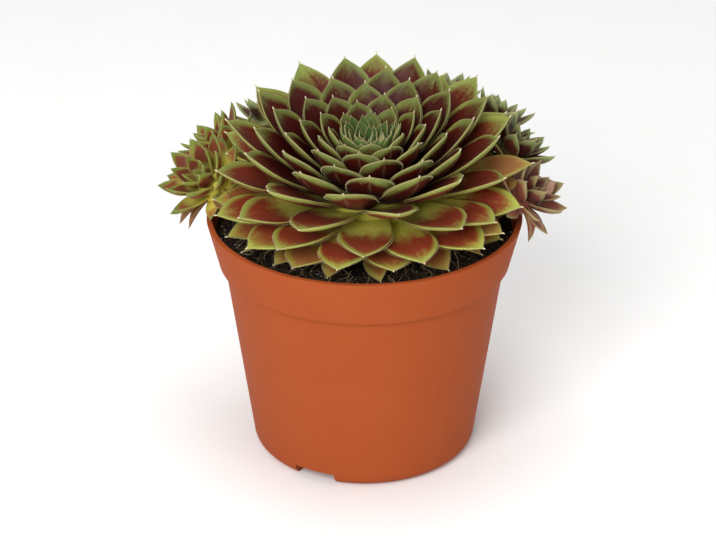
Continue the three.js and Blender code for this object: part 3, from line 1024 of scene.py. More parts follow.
@dataclass
class LeafBlank:
    """A flat leaf of unit size, which Geometry Nodes bend into every leaf of a rosette.

    Each vertex knows its share of the way along, across and below, and the fine offsets in millimetres that
    make the hard point (mucro) or the teeth along the edge. The flat shape itself only tells faces' sides apart.

    Stations crowd towards the tip, whose drawn-out cusp starts at cusp_from, and the flesh draws back by the
    mucro's length there. A mucro ring is its place along and its share of the mucro's half width. The teeth fill
    a stretch from a first station, and a tooth's size is a least share and what chance adds.
    """

    outline: LeafOutline
    stations: int = 17
    columns: int = 8
    root_share: float = 0.8
    last_station: float = 0.992
    crowding: float = 1.7
    keel: float = 3.0
    cusp: float = 0.25
    cusp_from: float = 0.84
    drawn_back: int = 8
    mucro_mm: float = 0.85
    mucro_half_mm: float = 0.28
    mucro_rings: tuple[Point, ...] = ((-0.72, 1.0), (-0.3, 0.62), (0.02, 0.25))
    teeth: int = 46
    tooth_mm: float = 0.42
    tooth_stations: Span = (0.5, 0.49)
    tooth_sizes: Span = (0.75, 0.35)
    tooth_foot: tuple[Place, ...] = ((-0.1, -0.12, -0.05), (0.1, -0.12, -0.05), (0.0, -0.12, 0.1))
    tooth_lean: float = 0.22
    tooth_rise: float = 0.06
    flat_length: float = 6.0
    flat_thickness: float = 0.2
    flat_along: float = 0.2
    flat_fine: float = 0.1

    def place_on(self, name: str, rows: list[tuple], faces: list[tuple[int, ...]]) -> Object:
        """Makes the hidden blank object from its vertices and faces.

        Args:
            name: The blank's name.
            rows: For each vertex station, across, below, along, out and up.
            faces: Corners of each face.

        Returns:
            The blank, out of sight.
        """
        table = np.array(rows, float)
        station, across, below, along, out, up = table.T
        share = np.array([self.outline.width_share(min(s, 1.0)) for s in station])
        share **= 1 + self.cusp * np.clip((station - self.cusp_from) / (1 - self.cusp_from), 0, 1)
        thin = np.sqrt(np.clip(1 - station**4, 0, 1))
        flat = np.column_stack(
            [
                station * self.flat_length + along * self.flat_along,
                across * share + out * self.flat_fine,
                -self.flat_thickness * below * thin + self.flat_fine * up,
            ]
        )
        mesh = bpy.data.meshes.new(name)
        mesh.from_pydata(flat.tolist(), [], faces)
        work = bmesh.new()
        work.from_mesh(mesh)
        bmesh.ops.recalc_face_normals(work, faces=work.faces)
        work.to_mesh(mesh)
        work.free()
        store_vectors(mesh, "place", table[:, 0:3])
        store_vectors(mesh, "offset", table[:, 3:6])
        store_vectors(mesh, "taper", np.column_stack([share, thin, np.zeros(len(table))]))
        return bpy.data.objects.new(name, mesh)

    def blade(self) -> Object:
        """Makes the blade: rounded margins, a keeled back and a short hard point at the tip.

        Returns:
            The blank object.
        """
        across = [math.cos(math.pi * k / self.columns) for k in range(self.columns + 1)]
        ring = [(a, 0.0) for a in across] + [(a, (1 - abs(a) ** self.keel) ** 0.5) for a in across[-2:0:-1]]
        count = len(ring)
        rows = []
        first = self.root_share * self.outline.root_station
        for j in range(self.stations + 1):
            grown_share = 1 - (1 - j / self.stations) ** self.crowding
            station = first + (self.last_station - first) * grown_share
            back = -self.mucro_mm * station**self.drawn_back
            rows += [(station, a, b, back, 0.0, 0.0) for a, b in ring]
        tip = self.mucro_half_mm
        for along, size in self.mucro_rings:
            for i, (a, _) in enumerate(ring):
                turn = 2 * math.pi * i / count
                rows.append((1.0, a, 0.0, along, math.cos(turn) * size * tip, math.sin(turn) * size * tip))
        faces = [tuple(range(count))]
        for j in range(len(rows) // count - 1):
            low, high = j * count, (j + 1) * count
            faces += [(low + i, low + (i + 1) % count, high + (i + 1) % count, high + i) for i in range(count)]
        faces.append(tuple(range(len(rows) - count, len(rows))))
        return self.place_on("leaf_blank", rows, faces)

    def fringe(self) -> Object:
        """Makes the row of fine teeth (cilia) along both edges.

        Returns:
            The blank object.
        """
        rows, faces = [], []
        start, length = self.tooth_stations
        least, more = self.tooth_sizes
        for side in (-1.0, 1.0):
            for k in range(self.teeth):
                station = start + length * (k + 0.5 * (side > 0)) / self.teeth
                back = -self.mucro_mm * station**self.drawn_back
                size = self.tooth_mm * (least + more * abs(draw(5, k, 2 + int(side))))
                a, b, c, d = range(len(rows), len(rows) + 4)
                for along, out, up in (*self.tooth_foot, (self.tooth_lean, size, self.tooth_rise)):
                    rows.append((station, side, 0.5, back + along, side * out, up))
                faces += [(a, b, c), (a, b, d), (b, c, d), (c, a, d)]
        return self.place_on("fringe_blank", rows, faces)


class RosetteTree:
    """The Geometry Nodes that set a blank on every leaf's place and bend it along the leaf's arc."""

    INPUTS = {
        "Geometry": "Geometry",
        "Blank": "Object",
        "Lean axis": "Vector",
        "Lean": "Float",
        "Centre": "Vector",
        "Unevenness": "Float",
        "Finish": "Material",
    }
    VECTORS = ("foot", "reach", "pose", "body", "place", "offset", "taper")
    WANDER_SCALE = 0.09  # swells of the living surface in a millimetre

    def __init__(self) -> None:
        """Builds the tree once, for all rosettes."""
        self.tree, self.inlets = node_group("Leaves round a stem", self.INPUTS)
        tree = self.tree
        start = add_node(tree, "NodeGroupInput").outputs
        blank = add_node(tree, "GeometryNodeObjectInfo", {"Object": start["Blank"]})
        spread = add_node(
            tree,
            "GeometryNodeInstanceOnPoints",
            {"Points": start["Geometry"], "Instance": blank.outputs["Geometry"]},
        )
        whole = add_node(tree, "GeometryNodeRealizeInstances", (spread,))
        bent = self.bend(whole, start)
        smooth = add_node(tree, "GeometryNodeSetShadeSmooth", (bent,))
        dressed = add_node(tree, "GeometryNodeSetMaterial", {"Geometry": smooth, "Material": start["Finish"]})
        add_node(tree, "NodeGroupOutput", (dressed,))

    def bend(self, whole: Node, start: bpy.types.bpy_prop_collection) -> Node:
        """Moves every vertex of the set blanks to its place on the bent, leaning leaf.

        Args:
            whole: The node that gives the realized blanks.
            start: The group's input sockets.

        Returns:
            The node that gives the bent leaves, with each vertex's distance from the margin stored.
        """
        tree = self.tree
        read = {
            name: add_node(tree, "GeometryNodeInputNamedAttribute", {"Name": name}, data_type="FLOAT_VECTOR")
            for name in self.VECTORS
        }
        part = {name: add_node(tree, "ShaderNodeSeparateXYZ", (node,)).outputs for name, node in read.items()}
        foot_radius, foot_height, detail = part["foot"]
        turn, roll, bend = part["pose"]
        half, thickness, cup = part["body"]
        station, across, below = part["place"]
        along, out, up = part["offset"]
        share, thin, _ = part["taper"]

        # The leaf's middle line: an arc over the chord from foot to tip.
        chord = add_node(tree, VECTOR_MATH, (read["reach"],), operation="LENGTH").outputs["Value"]
        climb = add_node(tree, MATH, (part["reach"][2], part["reach"][0]), operation="ARCTAN2")
        first = add_node(tree, MATH, (climb, bend), operation="SUBTRACT")
        sine = add_node(tree, MATH, (bend,), operation="SINE")
        double = add_node(tree, MATH, (sine, 2.0), operation="MULTIPLY")
        bow = add_node(tree, MATH, (chord, double), operation="DIVIDE")
        turned = add_node(tree, MATH, (bend, 2.0), operation="MULTIPLY")
        way = add_node(tree, MATH, (bow, turned), operation="MULTIPLY")
        fine_along = add_node(tree, MATH, (along, detail), operation="MULTIPLY")
        extra = add_node(tree, MATH, (fine_along, way), operation="DIVIDE")
        reached = add_node(tree, MATH, (station, extra), operation="ADD")
        heading = add_node(tree, MATH, (turned, reached, first), operation="MULTIPLY_ADD")
        sines = [add_node(tree, MATH, (angle,), operation="SINE") for angle in (heading, first)]
        cosines = [add_node(tree, MATH, (angle,), operation="COSINE") for angle in (first, heading)]
        level = add_node(tree, MATH, tuple(sines), operation="SUBTRACT")
        risen = add_node(tree, MATH, tuple(cosines), operation="SUBTRACT")
        middle_radius = add_node(tree, MATH, (bow, level, foot_radius), operation="MULTIPLY_ADD")
        middle_height = add_node(tree, MATH, (bow, risen, foot_height), operation="MULTIPLY_ADD")
        middle = add_node(tree, "ShaderNodeCombineXYZ", {0: middle_radius, 2: middle_height})

        # The section there: cupped above, keeled below, with the fine offsets added.
        half_here = add_node(tree, MATH, (half, share), operation="MULTIPLY")
        fine_out = add_node(tree, MATH, (out, detail), operation="MULTIPLY")
        side = add_node(tree, MATH, (across, half_here, fine_out), operation="MULTIPLY_ADD")
        squared = add_node(tree, MATH, (across, across), operation="MULTIPLY")
        raised = add_node(tree, MATH, (cup, half_here), operation="MULTIPLY")
        flesh = add_node(tree, MATH, (thickness, thin), operation="MULTIPLY")
        under = add_node(tree, MATH, (flesh, below), operation="MULTIPLY")
        fine_up = add_node(tree, MATH, (up, detail), operation="MULTIPLY")
        sunk = add_node(tree, MATH, (fine_up, under), operation="SUBTRACT")
        lift = add_node(tree, MATH, (raised, squared, sunk), operation="MULTIPLY_ADD")
        section = add_node(tree, "ShaderNodeCombineXYZ", {1: side, 2: lift})

        # The section rolls along the leaf, tilts with its line, goes round the stem and leans with the head.
        rolling = add_node(tree, MATH, (roll, station), operation="MULTIPLY")
        rolled = add_node(tree, "ShaderNodeVectorRotate", {"Vector": section, "Angle": rolling}, rotation_type="X_AXIS")
        upward = add_node(tree, MATH, (heading, -1.0), operation="MULTIPLY")
        tilted = add_node(tree, "ShaderNodeVectorRotate", {"Vector": rolled, "Angle": upward}, rotation_type="Y_AXIS")
        local = add_node(tree, VECTOR_MATH, (middle, tilted), operation="ADD")
        round_stem = add_node(tree, "ShaderNodeVectorRotate", {"Vector": local, "Angle": turn}, rotation_type="Z_AXIS")
        leaning = add_node(
            tree,
            "ShaderNodeVectorRotate",
            {"Vector": round_stem, "Axis": start["Lean axis"], "Angle": start["Lean"]},
            rotation_type="AXIS_ANGLE",
        )
        placed = add_node(tree, VECTOR_MATH, (leaning, start["Centre"]), operation="ADD")

        # The living surface wanders a little, more towards the tip.
        noise = add_node(tree, NOISE, {"Vector": placed, "Scale": self.WANDER_SCALE, "Detail": 1.0})
        centred = add_node(tree, VECTOR_MATH, (noise.outputs["Color"], (0.5, 0.5, 0.5)), operation="SUBTRACT")
        free = add_node(tree, MATH, (start["Unevenness"], station), operation="MULTIPLY")
        swayed = add_node(tree, VECTOR_MATH, {0: centred, "Scale": free}, operation="SCALE")
        final = add_node(tree, VECTOR_MATH, (placed, swayed), operation="ADD")
        metres = add_node(tree, VECTOR_MATH, {0: final, "Scale": MM}, operation="SCALE")
        moved = add_node(tree, "GeometryNodeSetPosition", {"Geometry": whole, "Position": metres})

        # How far each vertex lies from the leaf's margin, for the skin.
        off_middle = add_node(tree, MATH, (across,), operation="ABSOLUTE")
        inner = add_node(tree, MATH, (1.0, off_middle), operation="SUBTRACT")
        margin = add_node(tree, MATH, (inner, half_here), operation="MULTIPLY")
        return add_node(
            tree,
            "GeometryNodeStoreNamedAttribute",
            {"Geometry": moved, "Name": "margin_mm", "Value": margin},
            data_type="FLOAT",
            domain="POINT",
        )


@dataclass(frozen=True)
class DriedLeaf:
    """An old leaf that droops or has shrivelled under a head.

    Its tip's place is in millimetres; a dryness of one is brown all over.
    """

    tip: Place
    width: float
    dryness: float
    droop: float = 24.0
    curl: float = 0.5
    thickness: float = 0.8


@dataclass(frozen=True)
class HeartBud:
    """The tiny leaves that crowd a heart, between those of the solid.

    A pair of numbers is the innermost leaf's value and how much the outermost adds to it.
    """

    leaves: int = 0
    first_angle: float = 68.0
    vary_turn: float = 9.0
    vary_roll: float = 14.0
    base_radius: Span = (0.8, 2.4)
    base_height: float = 17.0
    tip_radius: Span = (0.8, 10.2)
    vary_radius: float = 1.0
    tip_height: Span = (30.4, 2.4)
    vary_height: float = 0.9
    bend: Span = (6.0, 9.0)
    cup: float = 0.35
    width: Span = (2.4, 2.8)
    thickness: float = 0.8
    oldest_age: float = 0.09


@dataclass
class Rosette:
    """One head: leaves set in a spiral round a short stem, over a bed of leaf feet.

    Angles are in degrees and lengths in millimetres. The core is the bed of leaf feet, crown_colour_* is where its
    skin reads the leaf's colours, and the stem turns to bark from bark_below down. A leaf's fine parts keep their
    full size down to a half width of fine_half.
    """

    node: str
    slot: str
    finish: LeafFinish
    rows: LeafRows
    leaves: int
    first_angle: float
    centre: Place
    lean: float
    lean_towards: float
    seed: int
    outline: LeafOutline
    scale: float = 1.0
    core_sides: int = 24
    core_rings: int = 5
    core_smoothing: int = 3
    core_station: float = 0.4
    core_drop: float = 0.9
    skirt_steps: int = 4
    stem_radius: float = 2.2
    stem_depth: float = 0.0
    growth_steps: int = 11
    growth_shorter: float = 0.07
    vary_turn: float = 5.0
    vary_reach: float = 0.03
    vary_height: float = 1.0
    vary_roll: float = 4.0
    match_mm: float = 0.08
    fine_half: float = 6.5
    least_fine: float = 0.4
    unevenness: float = 0.5
    teeth: int = 24
    tooth_mm: float = 0.42
    crown_share: float = 0.75
    crown_colour_station: float = 0.4
    crown_colour_age: float = 0.7
    crown_colour_margin: float = 5.0
    bark_below: float = -0.5
    bark_fade: float = 2.5
    bud: HeartBud = HeartBud()
    fading: tuple[tuple[int, float], ...] = ()
    dried: tuple[DriedLeaf, ...] = ()
    dried_roll: float = 30.0
    dried_ages: Span = (0.88, 0.12)
    plans: list[tuple[LeafPlan, float]] = field(default_factory=list)

    def plan(self, leaf: int, seed: int) -> LeafPlan:
        """Works out one leaf's place and size.

        Args:
            leaf: The leaf's number, from the youngest.
            seed: The seed of its small variations; none at 0.

        Returns:
            The plan.
        """
        age = leaf / (self.leaves - 1)
        rows = self.rows
        near, far, high, rolled = (draw(seed, leaf, use) for use in (1, 2, 3, 4))
        return LeafPlan(
            turn=math.radians(self.first_angle + leaf * DIVERGENCE + self.vary_turn * age * near),
            roll=math.radians(self.vary_roll * (1 + age) * rolled),
            base=(self.scale * row_value(rows.base_radius, age), self.scale * row_value(rows.base_height, age)),
            tip=(
                self.scale * row_value(rows.tip_radius, age) * (1 + self.vary_reach * far),
                self.scale * (row_value(rows.tip_height, age) + self.vary_height * age * high),
            ),
            bend=math.radians(row_value(rows.bend, age)),
            cup=row_value(rows.cup, age),
            width=self.scale * row_value(rows.width, age),
            thickness=self.scale * row_value(rows.thickness, age),
            outline=self.outline,
            age=age,
            dryness=dict(self.fading).get(leaf, 0.0),
        )

    def tilt(self) -> tuple[Vector, float]:
        """Gives the axis and the angle by which the head leans."""
        heading = math.radians(self.lean_towards)
        return Vector((-math.sin(heading), math.cos(heading), 0)), math.radians(self.lean)

    def place(self) -> Matrix:
        """Gives the matrix from the rosette's own frame to the part's, in millimetres."""
        axis, angle = self.tilt()
        return Matrix.Translation(self.centre) @ Matrix.Rotation(angle, 4, axis)

    def measure(self) -> None:
        """Finds how long each leaf has grown in its solid, from the corners that show there."""
        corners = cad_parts[self.node].data.vertices
        tree = KDTree(len(corners))
        for i, corner in enumerate(corners):
            tree.insert(corner.co / MM, i)
        tree.balance()
        place = self.place()
        self.plans = []
        for leaf in range(self.leaves):
            plan = self.plan(leaf, self.seed)
            _, section, rings = LeafForm.of(plan.width).value
            root = self.outline.root_station
            stations = [root + (1 - root) * ring for ring in rings]
            found = []
            for step in range(self.growth_steps):
                length = 1 - self.growth_shorter * step
                spots = [plan.skin_point(length, 1.0, 0.0, 0.0)]
                spots += [plan.skin_point(length, s, a, b) for s in stations for a, b in section]
                hits = sum(tree.find(place @ spot)[2] < self.match_mm for spot in spots)
                found.append((hits, length))
            hits, length = max(found)
            if hits:
                self.plans.append((plan, length))
        shortened = sum(length < 1 for _, length in self.plans)
        LOG.info("%s: %d of %d leaves, %d shortened", self.node, len(self.plans), self.leaves, shortened)

    def plan_bud(self, leaf: int) -> LeafPlan:
        """Plans one of the small leaves that crowd the heart.

        Args:
            leaf: The leaf's number, from the middle.

        Returns:
            The plan.
        """
        bud = self.bud
        share = math.sqrt((leaf + 0.5) / bud.leaves)
        near, far, high = (draw(self.seed, leaf, use) for use in (11, 12, 13))
        reach = bud.tip_radius[0] + (bud.tip_radius[1] + bud.vary_radius * far) * share
        top = bud.tip_height[0] + bud.tip_height[1] * share + bud.vary_height * high
        return LeafPlan(
            turn=math.radians(self.first_angle + bud.first_angle + leaf * DIVERGENCE + bud.vary_turn * near),
            roll=math.radians(bud.vary_roll * near),
            base=(self.scale * (bud.base_radius[0] + bud.base_radius[1] * share), self.scale * bud.base_height),
            tip=(self.scale * reach, self.scale * top),
            bend=math.radians(bud.bend[0] + bud.bend[1] * share),
            cup=bud.cup,
            width=self.scale * (bud.width[0] + bud.width[1] * share),
            thickness=self.scale * bud.thickness,
            outline=self.outline,
            age=bud.oldest_age * share,
        )

    def plan_dried(self, leaf: DriedLeaf) -> LeafPlan:
        """Plans a dried leaf that droops from the foot of the head.

        Args:
            leaf: Where its tip hangs, and its looks.

        Returns:
            The plan.
        """
        tip = self.place().inverted() @ Vector(leaf.tip)
        return LeafPlan(
            turn=math.atan2(tip.y, tip.x),
            roll=math.radians(self.dried_roll * draw(self.seed, int(leaf.tip[0]), 6)),
            base=(self.scale * self.rows.base_radius[-1], self.scale * self.rows.base_height[-1]),
            tip=(math.hypot(tip.x, tip.y), tip.z),
            bend=math.radians(-leaf.droop),
            cup=leaf.curl,
            width=leaf.width,
            thickness=leaf.thickness,
            outline=CHICK_OUTLINE,
            age=self.dried_ages[0] + self.dried_ages[1] * leaf.dryness,
            dryness=leaf.dryness,
        )

    def points(self, name: str) -> Mesh:
        """Makes the vertices that carry each leaf's plan as attributes.

        Args:
            name: The mesh's name.

        Returns:
            One vertex for each leaf.
        """
        mesh = bpy.data.meshes.new(name)
        mesh.vertices.add(len(self.plans))
        columns = {"foot": [], "reach": [], "pose": [], "body": [], "look": []}
        for i, (plan, length) in enumerate(self.plans):
            half = plan.width / 2 * length
            out, up = ((tip - base) * length for base, tip in zip(plan.base, plan.tip))
            columns["foot"].append((*plan.base, min(1.0, max(self.least_fine, half / self.fine_half))))
            columns["reach"].append((out, 0.0, up))
            columns["pose"].append((plan.turn, plan.roll, plan.bend))
            columns["body"].append((half, plan.thickness, plan.cup))
            columns["look"].append((plan.age, draw(self.seed, i, 5), plan.dryness))
        for label, values in columns.items():
            store_vectors(mesh, label, values)
        return mesh

    def grow(self, name: str, nodes: RosetteTree, blank: Object, material: Material) -> Object:
        """Sets a blank on every leaf's place and bends it.

        Args:
            name: The piece's name.
            nodes: The Geometry Nodes that do it.
            blank: The unit leaf or fringe.
            material: The piece's finish.

        Returns:
            The piece, as a plain mesh.
        """
        axis, angle = self.tilt()
        values = {
            "Blank": blank,
            "Lean axis": axis,
            "Lean": angle,
            "Centre": self.centre,
            "Unevenness": self.unevenness * self.scale,
            "Finish": material,
        }
        return grown(mesh_object(name, self.points(name), None), nodes.tree, nodes.inlets, values)

    def crown(self, material: Material) -> Object:
        """Makes the short stem and the flared bed of leaf feet that the leaves grow from.

        Args:
            material: The finish of the living parts.

        Returns:
            The piece.
        """
        oldest = self.plan(self.leaves - 1, 0)
        skirt = self.crown_share * self.core_station
        profile: list[Point] = [(0.0, -self.stem_depth)]
        if self.stem_depth > 0:
            profile.append((self.stem_radius, -self.stem_depth))
        for step in range(self.skirt_steps + 1):
            radius, height, _ = oldest.arc_point(1, skirt * step / self.skirt_steps)
            profile.append((max(radius, self.stem_radius), height - self.core_drop * oldest.thickness))
        rings = self.core_smoothing * self.core_rings
        for ring in range(rings - 1, -1, -1):
            leaf = math.floor(ring / rings * (self.leaves - 1) + 0.5)
            radius, height, _ = self.plan(leaf, 0).arc_point(1, skirt)
            profile.append((radius, height))
        profile.append((0.0, profile[-1][1]))
        name = self.node + "_crown"
        mesh = lathe(name, profile, self.core_sides)
        self.colour_crown(mesh)
        mesh.transform(Matrix.Scale(MM, 4) @ self.place() @ Matrix.Scale(1 / MM, 4))
        mesh.shade_smooth()
        return mesh_object(name, mesh, material)

    def colour_crown(self, mesh: Mesh) -> None:
        """Gives the crown the leaf attributes that its skin reads, with bark low on the stem.

        Args:
            mesh: The crown, still in the rosette's own frame.
        """
        count = len(mesh.vertices)
        corners = np.empty(3 * count, np.float32)
        mesh.vertices.foreach_get("co", corners)
        place, look = np.zeros((2, count, 3), np.float32)
        place[:, 0] = self.crown_colour_station
        look[:, 0] = self.crown_colour_age
        look[:, 2] = np.clip((self.bark_below - corners[2::3] / MM) / self.bark_fade, 0, 1)
        store_vectors(mesh, "place", place)
        store_vectors(mesh, "look", look)
        distance = mesh.attributes.new("margin_mm", "FLOAT", "POINT")
        distance.data.foreach_set("value", np.full(count, self.crown_colour_margin, np.float32))

    def build(self, nodes: RosetteTree, material: Material, down: Material) -> None:
        """Builds the head's leaves, their fringe and the crown, and hands them over.

        Args:
            nodes: The Geometry Nodes that set and bend leaves.
            material: The leaves' finish.
            down: The finish of the fine teeth.
        """
        self.measure()
        self.plans += [(self.plan_bud(leaf), 1.0) for leaf in range(self.bud.leaves)]
        self.plans += [(self.plan_dried(leaf), 1.0) for leaf in self.dried]
        blank = LeafBlank(self.outline.fuller(), teeth=self.teeth, tooth_mm=self.tooth_mm)
        hand_over(self.grow(self.node + "_leaves", nodes, blank.blade(), material), self.slot, self.node)
        hand_over(self.grow(self.node + "_fringe", nodes, blank.fringe(), down), self.slot)
        hand_over(self.crown(material), self.slot)


# ---------------------------------------------------------------- pot


@dataclass
class NurseryPot:
    """A round injection-moulded pot: tapered body, tall collar with a step under it, notched foot ring.

    Angles are in degrees, lengths in millimetres. The recess is the floor's height over the ground, and its slope
    inside runs between two places counted in wall thicknesses from the foot ring.
    """

    height: float = 84.0
    rim_radius: float = 52.5
    rim_inner_radius: float = 50.8
    lip_round: float = 0.5
    collar_height: float = 15.1
    collar_foot_radius: float = 48.9
    collar_under_round: float = 1.3
    collar_under_from: float = -60.0
    body_top_radius: float = 46.9
    body_foot_radius: float = 38.2
    corner_radius: float = 4.4
    wall: float = 1.3
    foot_ring_inner: float = 29.5
    recess: float = 4.0
    recess_slope: Span = (-1.6, 0.4)
    sides: int = 128
    notch_count: int = 3
    notch_first: float = -116.5
    notch_width: float = 14.5
    notch_height: float = 4.4
    notch_inner: float = 26.0
    notch_outer: float = 60.0
    drain_count: int = 6
    drain_first: float = -86.5
    drain_ring: float = 17.0
    drain_radius: float = 3.2
    drain_reach: float = 8.0
    drain_sides: int = 32
    crisp_angle: float = 28.0

    def outside(self) -> list[Point]:
        """Gives the profile of the outer face.

        Returns:
            The profile, closed at the rim's level.
        """
        collar_foot = self.height - self.collar_height
        corner, under, lip = self.corner_radius, self.collar_under_round, self.lip_round
        return [
            (0, self.recess),
            (self.foot_ring_inner - self.wall, self.recess),
            (self.foot_ring_inner, 0),
            *arc((self.body_foot_radius - corner, corner), corner, -90, 0, 8),
            (self.body_top_radius, collar_foot - under),
            *arc((self.collar_foot_radius - under, collar_foot), under, self.collar_under_from, 0, 5),
            *arc((self.rim_radius - lip, self.height - lip), lip, 0, 90, 4),
            (0, self.height),
        ]

    def inside(self, level: float, gap: float) -> list[Point]:
        """Gives the profile of the hollow.

        Args:
            level: Height to which it reaches.
            gap: Distance kept from the wall.

        Returns:
            The profile, closed at the level.
        """
        inset, corner = self.wall + gap, self.corner_radius
        collar_foot, under = self.height - self.collar_height, self.collar_under_round
        slope = (self.rim_inner_radius - (self.collar_foot_radius - self.wall)) / self.collar_height
        top, foot = (self.foot_ring_inner + self.wall * walls + gap for walls in self.recess_slope)
        return [
            (0, self.recess + inset),
            (top, self.recess + inset),
            (foot, inset),
            *arc((self.body_foot_radius - corner, corner), corner - inset, -90, 0, 6),
            (self.body_top_radius - inset, collar_foot - under),
            (self.rim_inner_radius - gap - (self.collar_height - under) * slope, collar_foot + under),
            (self.rim_inner_radius - gap - (self.height - level) * slope, level),
            (0, level),
        ]

    def cutters(self, grow: float) -> list[Object]:
        """Makes the blocks that cut the foot's notches.

        Args:
            grow: How much larger than the notch each side is.

        Returns:
            The cutting objects.
        """
        blocks = []
        length, height = self.notch_outer - self.notch_inner + grow, self.notch_height + grow + self.recess
        middle, top = self.notch_outer - length / 2, self.notch_height + grow
        size = Matrix.Diagonal((length * MM, (self.notch_width + 2 * grow) * MM, height * MM, 1))
        shift = Matrix.Translation((middle * MM, 0, (top - height / 2) * MM))
        for i in range(self.notch_count):
            work = bmesh.new()
            bmesh.ops.create_cube(work, size=1.0)
            turn = Matrix.Rotation(math.radians(self.notch_first + 360 / self.notch_count * i), 4, "Z")
            work.transform(turn @ shift @ size)
            blocks.append(mesh_object("notch", finished(work, "notch"), None))
        return blocks

    def drains(self) -> list[Object]:
        """Makes the rods that cut the drain holes.

        Returns:
            The cutting objects.
        """
        rods = []
        profile = [(0, 0), (self.drain_radius, 0), (self.drain_radius, self.drain_reach), (0, self.drain_reach)]
        for i in range(self.drain_count):
            mesh = lathe("drain", profile, self.drain_sides)
            angle = math.radians(self.drain_first + 360 / self.drain_count * i)
            x, y = self.drain_ring * math.cos(angle) * MM, self.drain_ring * math.sin(angle) * MM
            mesh.transform(Matrix.Translation((x, y, 0)))
            rods.append(mesh_object("drain", mesh, None))
        return rods

    @staticmethod
    def carve(body: Object, tools: list[Object]) -> None:
        """Cuts the tools out of a body and removes them.

        Args:
            body: The solid to cut.
            tools: The solids that are taken out of it.
        """
        for tool in tools:
            step = body.modifiers.new("Cut", "BOOLEAN")
            step.operation = "DIFFERENCE"
            step.solver = "EXACT"
            step.object = tool
        baked(body)
        for tool in tools:
            bpy.data.objects.remove(tool)

    def build(self) -> None:
        """Builds the pot and hands it over."""
        plastic = MouldedPlastic().material()
        hollow = mesh_object("hollow", lathe("hollow", self.inside(self.height + 1, 0), self.sides), None)
        self.carve(hollow, self.cutters(self.wall))
        pot = mesh_object("nursery_pot", lathe("nursery_pot", self.outside(), self.sides), plastic)
        self.carve(pot, [*self.cutters(0), *self.drains()])
        self.carve(pot, [hollow])
        pot.data.materials.clear()
        pot.data.materials.append(plastic)
        pot.data.shade_smooth()
        pot.data.set_sharp_from_angle(angle=math.radians(self.crisp_angle))
        hand_over(pot, "terracotta_plastic", "pot")


# ---------------------------------------------------------------- soil


